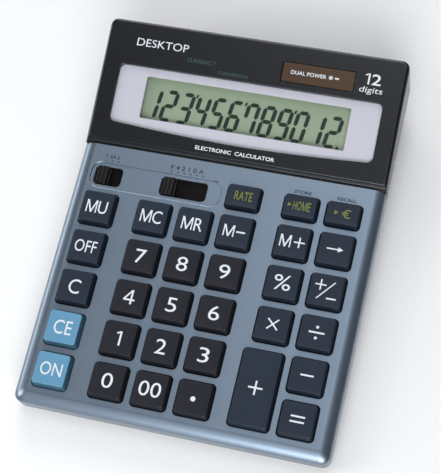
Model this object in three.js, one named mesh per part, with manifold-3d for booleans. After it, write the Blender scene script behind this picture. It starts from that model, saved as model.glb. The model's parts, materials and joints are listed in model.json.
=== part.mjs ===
// Desk calculator: thirty-two keys and two slide switches on a sloping deck, and a steeper display
// head behind it with a liquid crystal display and a solar cell. An AA cell lies under the head.
// Millimetres. +X is right, +Y runs from the front edge to the display, +Z is up.
// The origin is on the desk, below the middle of the body.
import * as THREE from 'three';
import { mergeVertices } from 'three/addons/utils/BufferGeometryUtils.js';
import Module from 'manifold-3d';

const wasm = await Module();
wasm.setup();

// ---------------------------------------------------------------- driving dimensions
// Body. The deck and the head meet at the seam, a line across the body.
const bodyWidth = 139;
const deckLength = 122.8; // from the seam to the front face, along the deck
const headRun = 58; // from the seam to the back face, along the deck
const deckTilt = THREE.MathUtils.degToRad(3); // deck against the desk
const headTilt = THREE.MathUtils.degToRad(12.3); // head against the deck
const frontHeight = 14; // deck above the desk at the front face
const frontRadius = 7; // corners in plan
const backRadius = 5;
const wall = 2;
const gap = 0.3; // between pieces that touch or nearly touch
const overlap = 1; // how far a cutting or joining block runs past what it meets

// Shoulder: the rounded edge between the deck and the side walls.
const shoulderWidth = 5.3;
const shoulderDrop = 3;
const shoulderSteps = 3;
const rimDepth = 10; // lower edge of the upper shells, below the deck
const tongueReach = 8; // the top case's step under the head
const coverLip = 0.5; // the head's cover stands this far above the deck at the seam

// Bottom case, a tray set in from the rim.
const trayInset = 3.5;
const trayRise = 3; // how far its walls reach up inside the rim
const footHeight = 1.5; // underside of the tray above the desk

// Keys.
const pitch = 19;
const keyWidth = 15.6;
const lowKeyLength = 11.4; // keys of the short top row
const tallKeyWidth = 17.9;
const tallKeyLength = 34.2;
const keyRadius = 1.9;
const keyHeight = 3.5; // top of a key above the deck
const keyTopInset = 1; // how much the sides lean in, each side
const keyEdge = 0.7; // rounding of the key's top edge
const keyClearance = 0.3; // around a key in its hole
const keyFlange = 0.7; // how far the flange reaches under the deck
const flangeThickness = 0.7;
const flangeRoom = 0.05; // kept free above a flange, where the shoulder curves down over it
const keyTravel = 1.5;
const plungerWidth = 4;
const keyPocketWall = 1.6;
const keyCrown = 1.6; // plastic between the key's pocket and its top
const pressRoom = 0.2; // left under a key and its plunger when pressed

// Key layout, measured on the deck from the seam and the centre line.
const leftColumn = -54.8;
const digitColumn = -29.5;
const rightColumn = 34.3;
const lowRow = -14.6;
const firstRow = -31.4;
const tallKeyShift = -1.1; // the wide key grows towards the digits

// Slide switches in their recess.
const recessLeft = -62.8;
const recessRight = -2.2;
const recessLength = 12;
const recessRadius = 4.5;
const recessDepth = 0.8;
const slotLength = 9;
const slotRadius = 2;
const knobWidth = 4.6;
const knobEndGap = 1; // between the finger piece and the end of its slot
const knobSideGap = 0.4;
const switchStep = 2.94; // from one switch position to the next
const knobSink = 0.4; // top of the finger piece below the deck
const carriageOverlap = 1.1; // the carriage holds the knob under the deck
const carriageThickness = 1.2;
const switches = [
  { name: 'rounding_switch_knob', slotStart: -61.1, positions: 3 },
  { name: 'decimal_switch_knob', slotStart: -30.1, positions: 6 },
];

// Silicone keypad and main board under the deck.
const bootHeight = 1.2;
const bootWidth = 8;
const bootWall = 1.3;
const sheetThickness = 0.6;
const boardThickness = 1.6;
const boardSideGap = 0.2; // between the boards and the tray's side walls
const boardFrontGap = 2.2; // and its front wall
const boardRadius = 2;
const boardToSeam = 4;

// Display, placed on the head from the seam.
const windowWidth = 120.8;
const windowStart = 11.2;
const windowLength = 26.3;
const windowBow = 2.3; // the lower edge bends down by this much in the middle
const windowRadius = 2.6;
const lensThickness = 1.2;
const lensSink = 0.1;
const bezelThickness = 0.8;
const windowLedge = 2;
const ledgeThickness = 1.5;
const windowFrame = 3;
const lcdOpeningWidth = 94.6;
const lcdOpeningLength = 19.5;
const lcdStart = 15;
const lcdOpeningRadius = 0.8;
const lcdRadius = 0.5;
const lcdMargin = 3.4; // glass beyond the opening, each side
const lcdThickness = 2.2;
const lcdFrameWall = 2.6;
const zebraHeight = 2.2;
const zebraWidth = 2;
const solarWidth = 32.7;
const solarLength = 8.9;
const solarCentre = 30.1;
const solarStart = 41.7;
const solarThickness = 0.8;
const solarSink = 0.15;
const solarLedge = 2;

// Battery bay, an AA cell lying across the body under the head.
const cellDiameter = 14.5;
const cellLength = 50.5;
const cellCentreX = -20;
const cellToBack = 12; // cell's axis to the tray's back face
const bayEndRoom = 4.2; // for the contacts, each end
const bayWall = 1.5;
const bayWallRise = 0.65; // above the cell's axis
const cellRoom = 0.3; // over the cell, below the display board
const doorPlate = 1.6;
const doorFlange = 1;
const doorFlangeReach = 1.8;
const doorGap = 0.3;
const doorFront = 22; // door's front edge to the tray's back face
const contactThickness = 0.4;

// Screws and feet.
const screwHeadRadius = 2.8;
const screwHeadHeight = 1.8;
const screwShankRadius = 1.3;
const bossRadius = 2.6;
const tubeRadius = 4.2;
const tubeSeat = 2.5; // screw seat above the tray's underside
const rearTubeHeight = 6.5;
const screwBite = 5;
const rearScrewInset = 11.5;
const rearScrewToBack = 12;
const bossHoleMargin = 0.6; // around a boss in the boards
const footRadius = 5.5;
const footRecess = 0.6;
const footInsetX = 13;
const footInsetY = 14;

// ---------------------------------------------------------------- worked out from them
const halfWidth = bodyWidth / 2;
const seamZ = frontHeight + deckLength * Math.sin(deckTilt);
const frontReach = deckLength * Math.cos(deckTilt) - shoulderDrop * Math.sin(deckTilt);
const backReach = headRun * Math.cos(deckTilt) + rimDepth * Math.sin(deckTilt);
const seamY = (frontReach - backReach) / 2; // puts the origin under the middle
const bodyLength = frontReach + backReach;
const headLength = headRun / Math.cos(headTilt);
const rows = [0, 1, 2, 3, 4].map((i) => firstRow - i * pitch);
const digitColumns = [0, 1, 2].map((i) => digitColumn + i * pitch);
const lastColumn = rightColumn + pitch;

const flangeTop = -wall - gap;
const keyBottom = flangeTop - flangeThickness;
const bootTop = keyBottom - keyTravel - pressRoom;
const sheetTop = bootTop - bootHeight;
const plungerEnd = sheetTop + keyTravel + pressRoom;
const sheetBottom = sheetTop - sheetThickness;
const boardTop = sheetBottom - gap;
const boardBottom = boardTop - boardThickness;

const trayWidth = bodyWidth - 2 * trayInset;
const trayLength = bodyLength - 2 * trayInset - rimDepth * Math.sin(deckTilt);
const floorTop = footHeight + wall;
const boardHalfWidth = trayWidth / 2 - wall - boardSideGap;
const boardFront = -deckLength + trayInset + wall + boardFrontGap;

const lensTop = -lensSink;
const bezelTop = lensTop - lensThickness - gap;
const ledgeTop = bezelTop - bezelThickness - gap;
const ledgeBottom = ledgeTop - ledgeThickness;
const lcdTop = ledgeBottom - gap;
const lcdBottom = lcdTop - lcdThickness;
const zebraTop = lcdBottom - gap;
const displayBoardTop = zebraTop - zebraHeight - gap;
const displayBoardBottom = displayBoardTop - boardThickness;
const lcdWidth = lcdOpeningWidth + 2 * lcdMargin;
const lcdLength = lcdOpeningLength + 2 * lcdMargin;
const lcdCentreY = lcdStart + lcdOpeningLength / 2;

const trayBack = trayLength / 2;
const cellY = trayBack - cellToBack;
const doorTop = footHeight + doorPlate;
const flangeLow = floorTop + doorGap;
const flangeHigh = flangeLow + doorFlange;
const cellZ = flangeHigh + gap + cellDiameter / 2;
const bayWallTop = cellZ + bayWallRise;
const bayHalfLength = cellLength / 2 + bayEndRoom;
const doorHalfWidth = bayHalfLength - doorFlangeReach - 2 * doorGap;
const bayFront = trayBack - doorFront - 2 * doorGap;

// ---------------------------------------------------------------- frames
// The deck's own frame: X across, Y up the slope from the seam, Z out of the deck.
const deck = new THREE.Group();
deck.position.set(0, seamY, seamZ);
deck.rotation.x = deckTilt;
deck.updateMatrix();

// The head's frame: the same, on the surface of the head's cover.
const head = new THREE.Group();
head.position.set(0, 0, coverLip);
head.rotation.x = headTilt;
head.updateMatrix();

const deckToWorld = deck.matrix.clone();
const worldToDeck = deckToWorld.clone().invert();
const headToDeck = head.matrix.clone();

// ---------------------------------------------------------------- shape helpers
function roundedRect(width, length, radius) {
  const x = width / 2;
  const y = length / 2;
  const r = Math.min(radius, x * 0.95, y * 0.95);
  const shape = new THREE.Shape();
  shape.moveTo(-x + r, -y);
  shape.lineTo(x - r, -y);
  shape.absarc(x - r, -y + r, r, -Math.PI / 2, 0);
  shape.lineTo(x, y - r);
  shape.absarc(x - r, y - r, r, 0, Math.PI / 2);
  shape.lineTo(-x + r, y);
  shape.absarc(-x + r, y - r, r, Math.PI / 2, Math.PI);
  shape.lineTo(-x, -y + r);
  shape.absarc(-x + r, -y + r, r, Math.PI, Math.PI * 1.5);
  return shape;
}

// A prism on a shape, drawn in through levels of [height, inset].
function loft(shape, levels, curveSegments = 1) {
  const steps = levels.length - 1;
  const geometry = new THREE.ExtrudeGeometry(shape, {
    depth: steps,
    steps,
    bevelEnabled: false,
    curveSegments,
  });
  geometry.computeBoundingBox();
  const { min, max } = geometry.boundingBox;
  const centre = new THREE.Vector2((min.x + max.x) / 2, (min.y + max.y) / 2);
  const half = new THREE.Vector2((max.x - min.x) / 2, (max.y - min.y) / 2);
  const position = geometry.attributes.position;
  for (let i = 0; i < position.count; i += 1) {
    const [height, inset] = levels[Math.round(position.getZ(i))];
    const x = centre.x + (position.getX(i) - centre.x) * (1 - inset / half.x);
    const y = centre.y + (position.getY(i) - centre.y) * (1 - inset / half.y);
    position.setXYZ(i, x, y, height);
  }
  return geometry;
}

function plate(width, length, radius, low, high, curveSegments = 1) {
  return loft(roundedRect(width, length, radius), [[low, 0], [high, 0]], curveSegments);
}

function block(x0, x1, y0, y1, z0, z1) {
  const geometry = new THREE.BoxGeometry(x1 - x0, y1 - y0, z1 - z0);
  return geometry.translate((x0 + x1) / 2, (y0 + y1) / 2, (z0 + z1) / 2);
}

// An upright cylinder between two heights.
function post(x, y, radius, low, high, sides = 12) {
  const geometry = new THREE.CylinderGeometry(radius, radius, high - low, sides);
  return geometry.rotateX(Math.PI / 2).translate(x, y, (low + high) / 2);
}

function solid(geometry) {
  const bare = geometry.clone();
  bare.deleteAttribute('normal');
  bare.deleteAttribute('uv');
  const merged = mergeVertices(bare, 1e-4);
  const vertProperties = new Float32Array(merged.attributes.position.array);
  const triVerts = new Uint32Array(merged.index.array);
  return new wasm.Manifold(new wasm.Mesh({ numProp: 3, vertProperties, triVerts }));
}

function add(base, ...geometries) {
  return geometries.reduce((sum, geometry) => sum.add(solid(geometry)), base);
}

function cut(base, ...geometries) {
  return geometries.reduce((sum, geometry) => sum.subtract(solid(geometry)), base);
}

function geometryOf(manifold) {
  const { vertProperties, triVerts, numProp } = manifold.getMesh();
  const geometry = new THREE.BufferGeometry();
  const points = new Float32Array((vertProperties.length / numProp) * 3);
  for (let i = 0; i < points.length / 3; i += 1) {
    points.set(vertProperties.subarray(i * numProp, i * numProp + 3), i * 3);
  }
  geometry.setAttribute('position', new THREE.BufferAttribute(points, 3));
  geometry.setIndex(new THREE.BufferAttribute(new Uint32Array(triVerts), 1));
  geometry.computeVertexNormals();
  return geometry;
}

function piece(parent, name, shape, look) {
  const geometry = shape.isBufferGeometry ? shape : geometryOf(shape);
  const mesh = new THREE.Mesh(geometry, new THREE.MeshStandardMaterial(look));
  mesh.name = name;
  parent.add(mesh);
  return mesh;
}

const looks = {
  silverPaint: { color: 0x93a5b4, roughness: 0.35, metalness: 0.6 },
  blackGloss: { color: 0x24272c, roughness: 0.25, metalness: 0 },
  darkPlastic: { color: 0x2c2d30, roughness: 0.6, metalness: 0 },
  slateKey: { color: 0x3a4552, roughness: 0.5, metalness: 0 },
  charcoalKey: { color: 0x312f38, roughness: 0.5, metalness: 0 },
  blueKey: { color: 0x69a9cf, roughness: 0.45, metalness: 0 },
  knob: { color: 0x2b2426, roughness: 0.5, metalness: 0 },
  clearLens: { color: 0xe8ecf0, roughness: 0.05, metalness: 0, transparent: true, opacity: 0.3 },
  paleBezel: { color: 0xdcdbe6, roughness: 0.4, metalness: 0.2 },
  lcdGlass: { color: 0xa3b899, roughness: 0.2, metalness: 0 },
  solarCell: { color: 0x64503f, roughness: 0.15, metalness: 0.1 },
  silicone: { color: 0x55585c, roughness: 0.8, metalness: 0 },
  circuitBoard: { color: 0x2f6b45, roughness: 0.5, metalness: 0.1 },
  whiteNylon: { color: 0xd9d9d4, roughness: 0.6, metalness: 0 },
  steel: { color: 0xb4b7ba, roughness: 0.35, metalness: 0.9 },
  cellSleeve: { color: 0x7d8891, roughness: 0.4, metalness: 0.3 },
  rubber: { color: 0x1e1f20, roughness: 0.9, metalness: 0 },
  ribbon: { color: 0xc9b48a, roughness: 0.5, metalness: 0 },
  pinkRubber: { color: 0xb98f95, roughness: 0.8, metalness: 0 },
};

// ---------------------------------------------------------------- keys
const keys = [
  { name: 'key_mu', x: leftColumn, y: rows[0], look: 'slateKey' },
  { name: 'key_mc', x: digitColumns[0], y: rows[0], look: 'slateKey' },
  { name: 'key_mr', x: digitColumns[1], y: rows[0], look: 'slateKey' },
  { name: 'key_m_minus', x: digitColumns[2], y: rows[0], look: 'slateKey' },
  { name: 'key_m_plus', x: rightColumn, y: rows[0], look: 'slateKey' },
  { name: 'key_backspace', x: lastColumn, y: rows[0], look: 'slateKey' },
  { name: 'key_off', x: leftColumn, y: rows[1], look: 'slateKey' },
  { name: 'key_7', x: digitColumns[0], y: rows[1], look: 'charcoalKey' },
  { name: 'key_8', x: digitColumns[1], y: rows[1], look: 'charcoalKey' },
  { name: 'key_9', x: digitColumns[2], y: rows[1], look: 'charcoalKey' },
  { name: 'key_percent', x: rightColumn, y: rows[1], look: 'slateKey' },
  { name: 'key_change_sign', x: lastColumn, y: rows[1], look: 'slateKey' },
  { name: 'key_clear', x: leftColumn, y: rows[2], look: 'slateKey' },
  { name: 'key_4', x: digitColumns[0], y: rows[2], look: 'charcoalKey' },
  { name: 'key_5', x: digitColumns[1], y: rows[2], look: 'charcoalKey' },
  { name: 'key_6', x: digitColumns[2], y: rows[2], look: 'charcoalKey' },
  { name: 'key_multiply', x: rightColumn, y: rows[2], look: 'slateKey' },
  { name: 'key_divide', x: lastColumn, y: rows[2], look: 'slateKey' },
  { name: 'key_clear_entry', x: leftColumn, y: rows[3], look: 'blueKey' },
  { name: 'key_1', x: digitColumns[0], y: rows[3], look: 'charcoalKey' },
  { name: 'key_2', x: digitColumns[1], y: rows[3], look: 'charcoalKey' },
  { name: 'key_3', x: digitColumns[2], y: rows[3], look: 'charcoalKey' },
  { name: 'key_minus', x: lastColumn, y: rows[3], look: 'slateKey' },
  { name: 'key_on', x: leftColumn, y: rows[4], look: 'blueKey' },
  { name: 'key_0', x: digitColumns[0], y: rows[4], look: 'charcoalKey' },
  { name: 'key_00', x: digitColumns[1], y: rows[4], look: 'charcoalKey' },
  { name: 'key_decimal_point', x: digitColumns[2], y: rows[4], look: 'charcoalKey' },
  { name: 'key_equals', x: lastColumn, y: rows[4], look: 'slateKey' },
  { name: 'key_rate', x: digitColumns[2], y: lowRow, length: lowKeyLength, look: 'slateKey' },
  { name: 'key_home_currency', x: rightColumn, y: lowRow, length: lowKeyLength, look: 'slateKey' },
  { name: 'key_other_currency', x: lastColumn, y: lowRow, length: lowKeyLength, look: 'slateKey' },
  {
    name: 'key_plus',
    x: rightColumn + tallKeyShift,
    y: (rows[3] + rows[4]) / 2,
    width: tallKeyWidth,
    length: tallKeyLength,
    look: 'slateKey',
  },
];

// A hollow cap with leaning sides, a flange that keeps it under the deck, and a plunger inside.
function keycap(width, length) {
  const flangeSpread = keyClearance + keyFlange;
  const edge = keyTopInset - keyEdge / 2;
  const flangeWidth = width + 2 * flangeSpread;
  const flangeLength = length + 2 * flangeSpread;
  const flange = solid(plate(flangeWidth, flangeLength, keyRadius, keyBottom, flangeTop));
  let cap = add(flange, loft(roundedRect(width, length, keyRadius), [
    [keyBottom, 0],
    [0, 0],
    [keyHeight - keyEdge, edge],
    [keyHeight, edge + keyEdge],
  ]));
  const pocketX = width / 2 - keyPocketWall - keyTopInset;
  const pocketY = length / 2 - keyPocketWall - keyTopInset;
  cap = cut(cap, block(-pocketX, pocketX, -pocketY, pocketY, keyBottom - overlap, keyHeight - keyCrown));
  const half = plungerWidth / 2;
  return add(cap, block(-half, half, -half, half, plungerEnd, keyHeight - keyCrown / 2));
}

const keyHoles = [];
const flangeSpaces = [];
for (const { name, x, y, width = keyWidth, length = keyWidth, look } of keys) {
  piece(deck, name, keycap(width, length), looks[look]).position.set(x, y, 0);
  const holeWidth = width + 2 * keyClearance;
  const holeLength = length + 2 * keyClearance;
  const hole = plate(holeWidth, holeLength, keyRadius, -wall - overlap, overlap);
  keyHoles.push(hole.translate(x, y, 0));
  const spaceSpread = 2 * (keyClearance + keyFlange + gap);
  const spaceTop = flangeTop + flangeRoom;
  const space = plate(width + spaceSpread, length + spaceSpread, keyRadius, -rimDepth, spaceTop);
  flangeSpaces.push(space.translate(x, y, 0));
}

// ---------------------------------------------------------------- slide switches
// A ribbed finger piece in the slot, on a carriage that is wider than the slot.
function switchKnob() {
  const halfX = knobWidth / 2;
  const halfY = slotLength / 2 - knobSideGap;
  const carriageTop = -wall - gap;
  const carriageLow = carriageTop - carriageThickness;
  const ribs = 3;
  const ribWidth = knobWidth / (2 * ribs - 1);
  const ribDepth = 0.6;
  let knob = solid(block(-halfX, halfX, -halfY, halfY, carriageLow, -knobSink));
  for (let i = 0; i < ribs - 1; i += 1) {
    const start = -halfX + (2 * i + 1) * ribWidth;
    const grooveEnd = halfY + overlap;
    const groove = block(start, start + ribWidth, -grooveEnd, grooveEnd, -knobSink - ribDepth, overlap);
    knob = cut(knob, groove);
  }
  const carriageX = halfX + carriageOverlap;
  const carriageY = slotLength / 2 + carriageOverlap;
  return add(knob, block(-carriageX, carriageX, -carriageY, carriageY, carriageLow, carriageTop));
}

const slots = [];
for (const { name, slotStart, positions } of switches) {
  const travel = switchStep * (positions - 1);
  const slotWidth = travel + knobWidth + 2 * knobEndGap;
  piece(deck, name, switchKnob(), looks.knob).position.set(slotStart + knobEndGap + knobWidth / 2, lowRow, 0);
  const slot = plate(slotWidth, slotLength, slotRadius, -wall - overlap, overlap, 2);
  slots.push(slot.translate(slotStart + slotWidth / 2, lowRow, 0));
}

// ---------------------------------------------------------------- screw places
// Two screws stand in the wide gaps between key columns, two hold the head.
const frontScrewY = (rows[3] + rows[4]) / 2;
// The tubes under the deck end just below the main board, which is lowest at their front.
const tubeFrontY = frontScrewY - tubeRadius;
const boardAtTube = seamZ + tubeFrontY * Math.sin(deckTilt) + boardBottom * Math.cos(deckTilt);
const tubeHeight = boardAtTube - gap - footHeight;
const leftGapX = (leftColumn + digitColumns[0]) / 2;
const rightGapX = (digitColumns[2] + rightColumn) / 2;
const rearScrewX = halfWidth - rearScrewInset;
const rearScrewY = headRun - rearScrewToBack;
const screws = [
  { name: 'front_left_screw', x: leftGapX, y: frontScrewY, tube: tubeHeight },
  { name: 'front_right_screw', x: rightGapX, y: (rows[1] + rows[2]) / 2, tube: tubeHeight },
  { name: 'rear_left_screw', x: -rearScrewX, y: rearScrewY, tube: rearTubeHeight },
  { name: 'rear_right_screw', x: rearScrewX, y: rearScrewY, tube: rearTubeHeight },
].map((screw) => ({ ...screw, worldY: seamY + screw.y * Math.cos(deckTilt) }));
const deckScrews = screws.slice(0, 2);
const headScrews = screws.slice(2);

// A boss that comes down from a shell to just above its tube in the tray, and its pilot hole.
function bossIn(frame, { x, worldY, tube }, top) {
  const low = footHeight + tube + gap;
  return {
    outer: post(x, worldY, bossRadius, low, top).applyMatrix4(frame),
    pilot: post(x, worldY, screwShankRadius + gap, low - overlap, low + screwBite + gap).applyMatrix4(frame),
  };
}

// ---------------------------------------------------------------- top case
// One moulding: deck plate, rounded shoulders and side walls, open at the seam.
function shoulderLevels(inset, top, width, drop) {
  const levels = [[-rimDepth - overlap, 0]];
  for (let i = 0; i <= shoulderSteps; i += 1) {
    const angle = (i / shoulderSteps) * (Math.PI / 2);
    levels.push([top - drop + drop * Math.sin(angle), inset + width * (1 - Math.cos(angle))]);
  }
  levels[0][1] = inset;
  return levels;
}

function deckShell(inset, top, width, drop) {
  const outline = roundedRect(bodyWidth, deckLength + headRun, frontRadius);
  const geometry = loft(outline, shoulderLevels(inset, top, width, drop), 3);
  return geometry.translate(0, (headRun - deckLength) / 2, 0);
}

const far = bodyWidth + bodyLength;
const seamGap = gap / 2;
let topCase = solid(deckShell(0, 0, shoulderWidth, shoulderDrop));
topCase = topCase.intersect(solid(block(-far, far, -far, -seamGap, -rimDepth, overlap)));
topCase = cut(topCase, deckShell(wall, -wall, shoulderWidth - 1, shoulderDrop - 0.5));
// The tongue under the cover's front edge.
const tongueHalf = halfWidth - shoulderWidth - wall;
const tongueTop = -wall - gap;
const tongueLow = tongueTop - wall;
const stepFront = -wall - overlap;
topCase = add(topCase, block(-tongueHalf, tongueHalf, stepFront, -seamGap, tongueLow, -wall / 2));
topCase = add(topCase, block(-tongueHalf, tongueHalf, stepFront, tongueReach, tongueLow, tongueTop));
for (const screw of deckScrews) {
  const surface = seamZ + screw.y * Math.sin(deckTilt);
  const boss = bossIn(worldToDeck, screw, surface - wall / 2);
  topCase = cut(add(topCase, boss.outer), boss.pilot);
}
const recessWidth = recessRight - recessLeft;
const recess = plate(recessWidth, recessLength, recessRadius, -recessDepth, overlap, 2);
recess.translate((recessLeft + recessRight) / 2, lowRow, 0);
topCase = cut(topCase, recess, ...slots, ...keyHoles, ...flangeSpaces);
piece(deck, 'top_case', topCase, looks.silverPaint);

// ---------------------------------------------------------------- display cover
// A wedge shaped shell over the back of the body, square at the seam and rounded at the back.
function headPrism(inset, low, high) {
  const x = halfWidth - inset;
  const y = headRun - inset;
  const r = backRadius - inset;
  const shape = new THREE.Shape();
  shape.moveTo(-x, seamGap + inset);
  shape.lineTo(x, seamGap + inset);
  shape.lineTo(x, y - r);
  shape.absarc(x - r, y - r, r, 0, Math.PI / 2);
  shape.lineTo(-x + r, y);
  shape.absarc(-x + r, y - r, r, Math.PI / 2, Math.PI);
  return loft(shape, [[low, 0], [high, 0]], 2);
}

// Everything below a plane of the head, in the deck's frame.
function belowHead(depth) {
  return block(-far, far, -far, far, -far, -depth).applyMatrix4(headToDeck);
}

// The window's outline: straight sides and top, and a lower edge that bows down.
function windowShape(spread) {
  const x = windowWidth / 2 + spread;
  const low = windowStart - spread;
  const high = windowStart + windowLength + spread;
  const r = windowRadius + spread;
  const shape = new THREE.Shape();
  shape.moveTo(-x + r, low);
  shape.quadraticCurveTo(0, low - 2 * windowBow, x - r, low);
  shape.absarc(x - r, low + r, r, -Math.PI / 2, 0);
  shape.lineTo(x, high - r);
  shape.absarc(x - r, high - r, r, 0, Math.PI / 2);
  shape.lineTo(-x + r, high);
  shape.absarc(-x + r, high - r, r, Math.PI / 2, Math.PI);
  shape.lineTo(-x, low + r);
  shape.absarc(-x + r, low + r, r, Math.PI, Math.PI * 1.5);
  return shape;
}

function windowPlate(spread, low, high) {
  const geometry = new THREE.ExtrudeGeometry(windowShape(spread), {
    depth: high - low,
    bevelEnabled: false,
    curveSegments: 3,
  });
  return geometry.translate(0, 0, low);
}

function solarPlate(spread, low, high) {
  const x = solarWidth / 2 + spread;
  return block(
    solarCentre - x,
    solarCentre + x,
    solarStart - spread,
    solarStart + solarLength + spread,
    low,
    high,
  );
}

const headTop = coverLip + headLength * Math.sin(headTilt) + overlap;
let cover = solid(headPrism(0, -rimDepth, headTop)).intersect(solid(belowHead(0)));
const coverHollow = solid(headPrism(wall, -rimDepth - overlap, headTop)).intersect(solid(belowHead(wall)));
cover = cover.subtract(coverHollow);
// Its front wall stops above the top case's tongue.
cover = cut(cover, block(-halfWidth + wall, halfWidth - wall, -overlap, 2 * wall, -far, -wall));
cover = add(cover, windowPlate(windowFrame, ledgeBottom, -wall / 2).applyMatrix4(headToDeck));
for (const screw of headScrews) {
  const surface = seamZ + screw.y * Math.sin(deckTilt) + screw.y * Math.sin(headTilt);
  const boss = bossIn(worldToDeck, screw, surface - wall / 2);
  cover = cut(add(cover, boss.outer), boss.pilot);
}
cover = cut(
  cover,
  windowPlate(gap / 2, ledgeTop, overlap).applyMatrix4(headToDeck),
  windowPlate(-windowLedge, ledgeBottom - overlap, overlap).applyMatrix4(headToDeck),
  solarPlate(gap, -solarSink - solarThickness - gap, overlap).applyMatrix4(headToDeck),
  solarPlate(-solarLedge, -wall - overlap, overlap).applyMatrix4(headToDeck),
);
piece(deck, 'display_cover', cover, looks.blackGloss);

// ---------------------------------------------------------------- display parts
deck.add(head);
piece(head, 'display_window', windowPlate(0, lensTop - lensThickness, lensTop), looks.clearLens);

const lcdOpening = plate(
  lcdOpeningWidth,
  lcdOpeningLength,
  lcdOpeningRadius,
  bezelTop - bezelThickness - overlap,
  overlap,
);
lcdOpening.translate(0, lcdCentreY, 0);
const bezel = cut(solid(windowPlate(0, bezelTop - bezelThickness, bezelTop)), lcdOpening);
piece(head, 'display_bezel', bezel, looks.paleBezel);

const lcdGlass = plate(lcdWidth, lcdLength, lcdRadius, lcdBottom, lcdTop);
piece(head, 'lcd_panel', lcdGlass, looks.lcdGlass).position.y = lcdCentreY;

const frameSpread = 2 * (lcdFrameWall + gap);
const frameOuter = plate(
  lcdWidth + frameSpread,
  lcdLength + frameSpread,
  boardRadius,
  displayBoardTop + gap,
  lcdTop,
);
const frameHole = plate(
  lcdWidth + 2 * gap,
  lcdLength + 2 * gap,
  lcdRadius,
  displayBoardTop - overlap,
  overlap,
);

// The space that the cell needs, which the display's frame and board leave free.
const headToWorld = new THREE.Matrix4().multiplyMatrices(deckToWorld, headToDeck);
const cellSpaceRadius = cellDiameter / 2 + cellRoom;
const cellSpace = new THREE.CylinderGeometry(cellSpaceRadius, cellSpaceRadius, cellLength + 2 * cellRoom, 24);
cellSpace.rotateZ(Math.PI / 2).translate(cellCentreX, cellY, cellZ);
cellSpace.applyMatrix4(headToWorld.clone().invert()).translate(0, -lcdCentreY, 0);
piece(head, 'lcd_frame', cut(solid(frameOuter), frameHole, cellSpace), looks.whiteNylon)
  .position.y = lcdCentreY;

const zebraHalf = lcdOpeningWidth / 2;
const zebra = block(-zebraHalf, zebraHalf, -zebraWidth, 0, zebraTop - zebraHeight, zebraTop);
piece(head, 'zebra_strip', zebra, looks.pinkRubber).position.y = lcdCentreY + lcdLength / 2 - gap;

const displayBoardWidth = lcdWidth + frameSpread;
const displayBoardLength = lcdLength + frameSpread;
const displayBoard = plate(
  displayBoardWidth,
  displayBoardLength,
  boardRadius,
  displayBoardBottom,
  displayBoardTop,
);
piece(head, 'display_board', cut(solid(displayBoard), cellSpace), looks.circuitBoard)
  .position.y = lcdCentreY;

const chipSize = 14;
const chipRadius = 1;
const chipThickness = 1.6;
const chipTop = displayBoardBottom - gap;
const chip = plate(chipSize, chipSize, chipRadius, chipTop - chipThickness, chipTop);
piece(head, 'controller_chip', chip, looks.darkPlastic).position.set(displayBoardWidth / 4, lcdCentreY, 0);

piece(head, 'solar_panel', solarPlate(0, -solarSink - solarThickness, -solarSink), looks.solarCell);

// ---------------------------------------------------------------- keypad and main board
const boardLength = -boardToSeam - boardFront;
const boardCentreY = boardFront + boardLength / 2;
const bossHoles = deckScrews.map(({ x, worldY }) => (
  post(x, worldY, bossRadius + bossHoleMargin, 0, far).applyMatrix4(worldToDeck)
));

function boardPlate(low, high) {
  return plate(2 * boardHalfWidth, boardLength, boardRadius, low, high).translate(0, boardCentreY, 0);
}

let keypad = solid(boardPlate(sheetBottom, sheetTop));
const bootHalf = bootWidth / 2;
const bootInner = bootHalf - bootWall;
for (const { x, y } of keys) {
  keypad = add(keypad, block(x - bootHalf, x + bootHalf, y - bootHalf, y + bootHalf, sheetBottom, bootTop));
  keypad = cut(keypad, block(x - bootInner, x + bootInner, y - bootInner, y + bootInner, sheetTop, overlap));
}
piece(deck, 'keypad_membrane', cut(keypad, ...bossHoles), looks.silicone);

const mainBoard = solid(boardPlate(boardBottom, boardTop));
piece(deck, 'main_board', cut(mainBoard, ...bossHoles), looks.circuitBoard);

// Flat ribbon between the two boards: it lies under both, and slopes between them.
const ribbonWidth = 24;
const ribbonThickness = 0.3;
const ribbonLap = 6;
const ribbonEase = 1; // before it meets the main board's edge
function ribbonPoint(frame, along, height) {
  return new THREE.Vector3(0, along, height).applyMatrix4(frame);
}
const ribbonUnderHead = displayBoardBottom - gap;
const ribbonUnderDeck = boardBottom - gap;
const displayBoardFront = lcdCentreY - displayBoardLength / 2;
const ribbonTop = [
  ribbonPoint(headToDeck, displayBoardFront + ribbonLap, ribbonUnderHead),
  ribbonPoint(headToDeck, displayBoardFront, ribbonUnderHead),
  new THREE.Vector3(0, -boardToSeam + ribbonEase, ribbonUnderDeck),
  new THREE.Vector3(0, -boardToSeam - ribbonLap, ribbonUnderDeck),
];
const ribbonOutline = new THREE.Shape([
  ...ribbonTop.map((point) => new THREE.Vector2(point.y, point.z)),
  ...ribbonTop.map((point) => new THREE.Vector2(point.y, point.z - ribbonThickness)).reverse(),
]);
const ribbon = new THREE.ExtrudeGeometry(ribbonOutline, { depth: ribbonWidth, bevelEnabled: false });
ribbon.rotateZ(Math.PI / 2).rotateY(Math.PI / 2).translate(-ribbonWidth / 2, 0, 0);
piece(deck, 'display_ribbon', ribbon, looks.ribbon);

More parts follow.
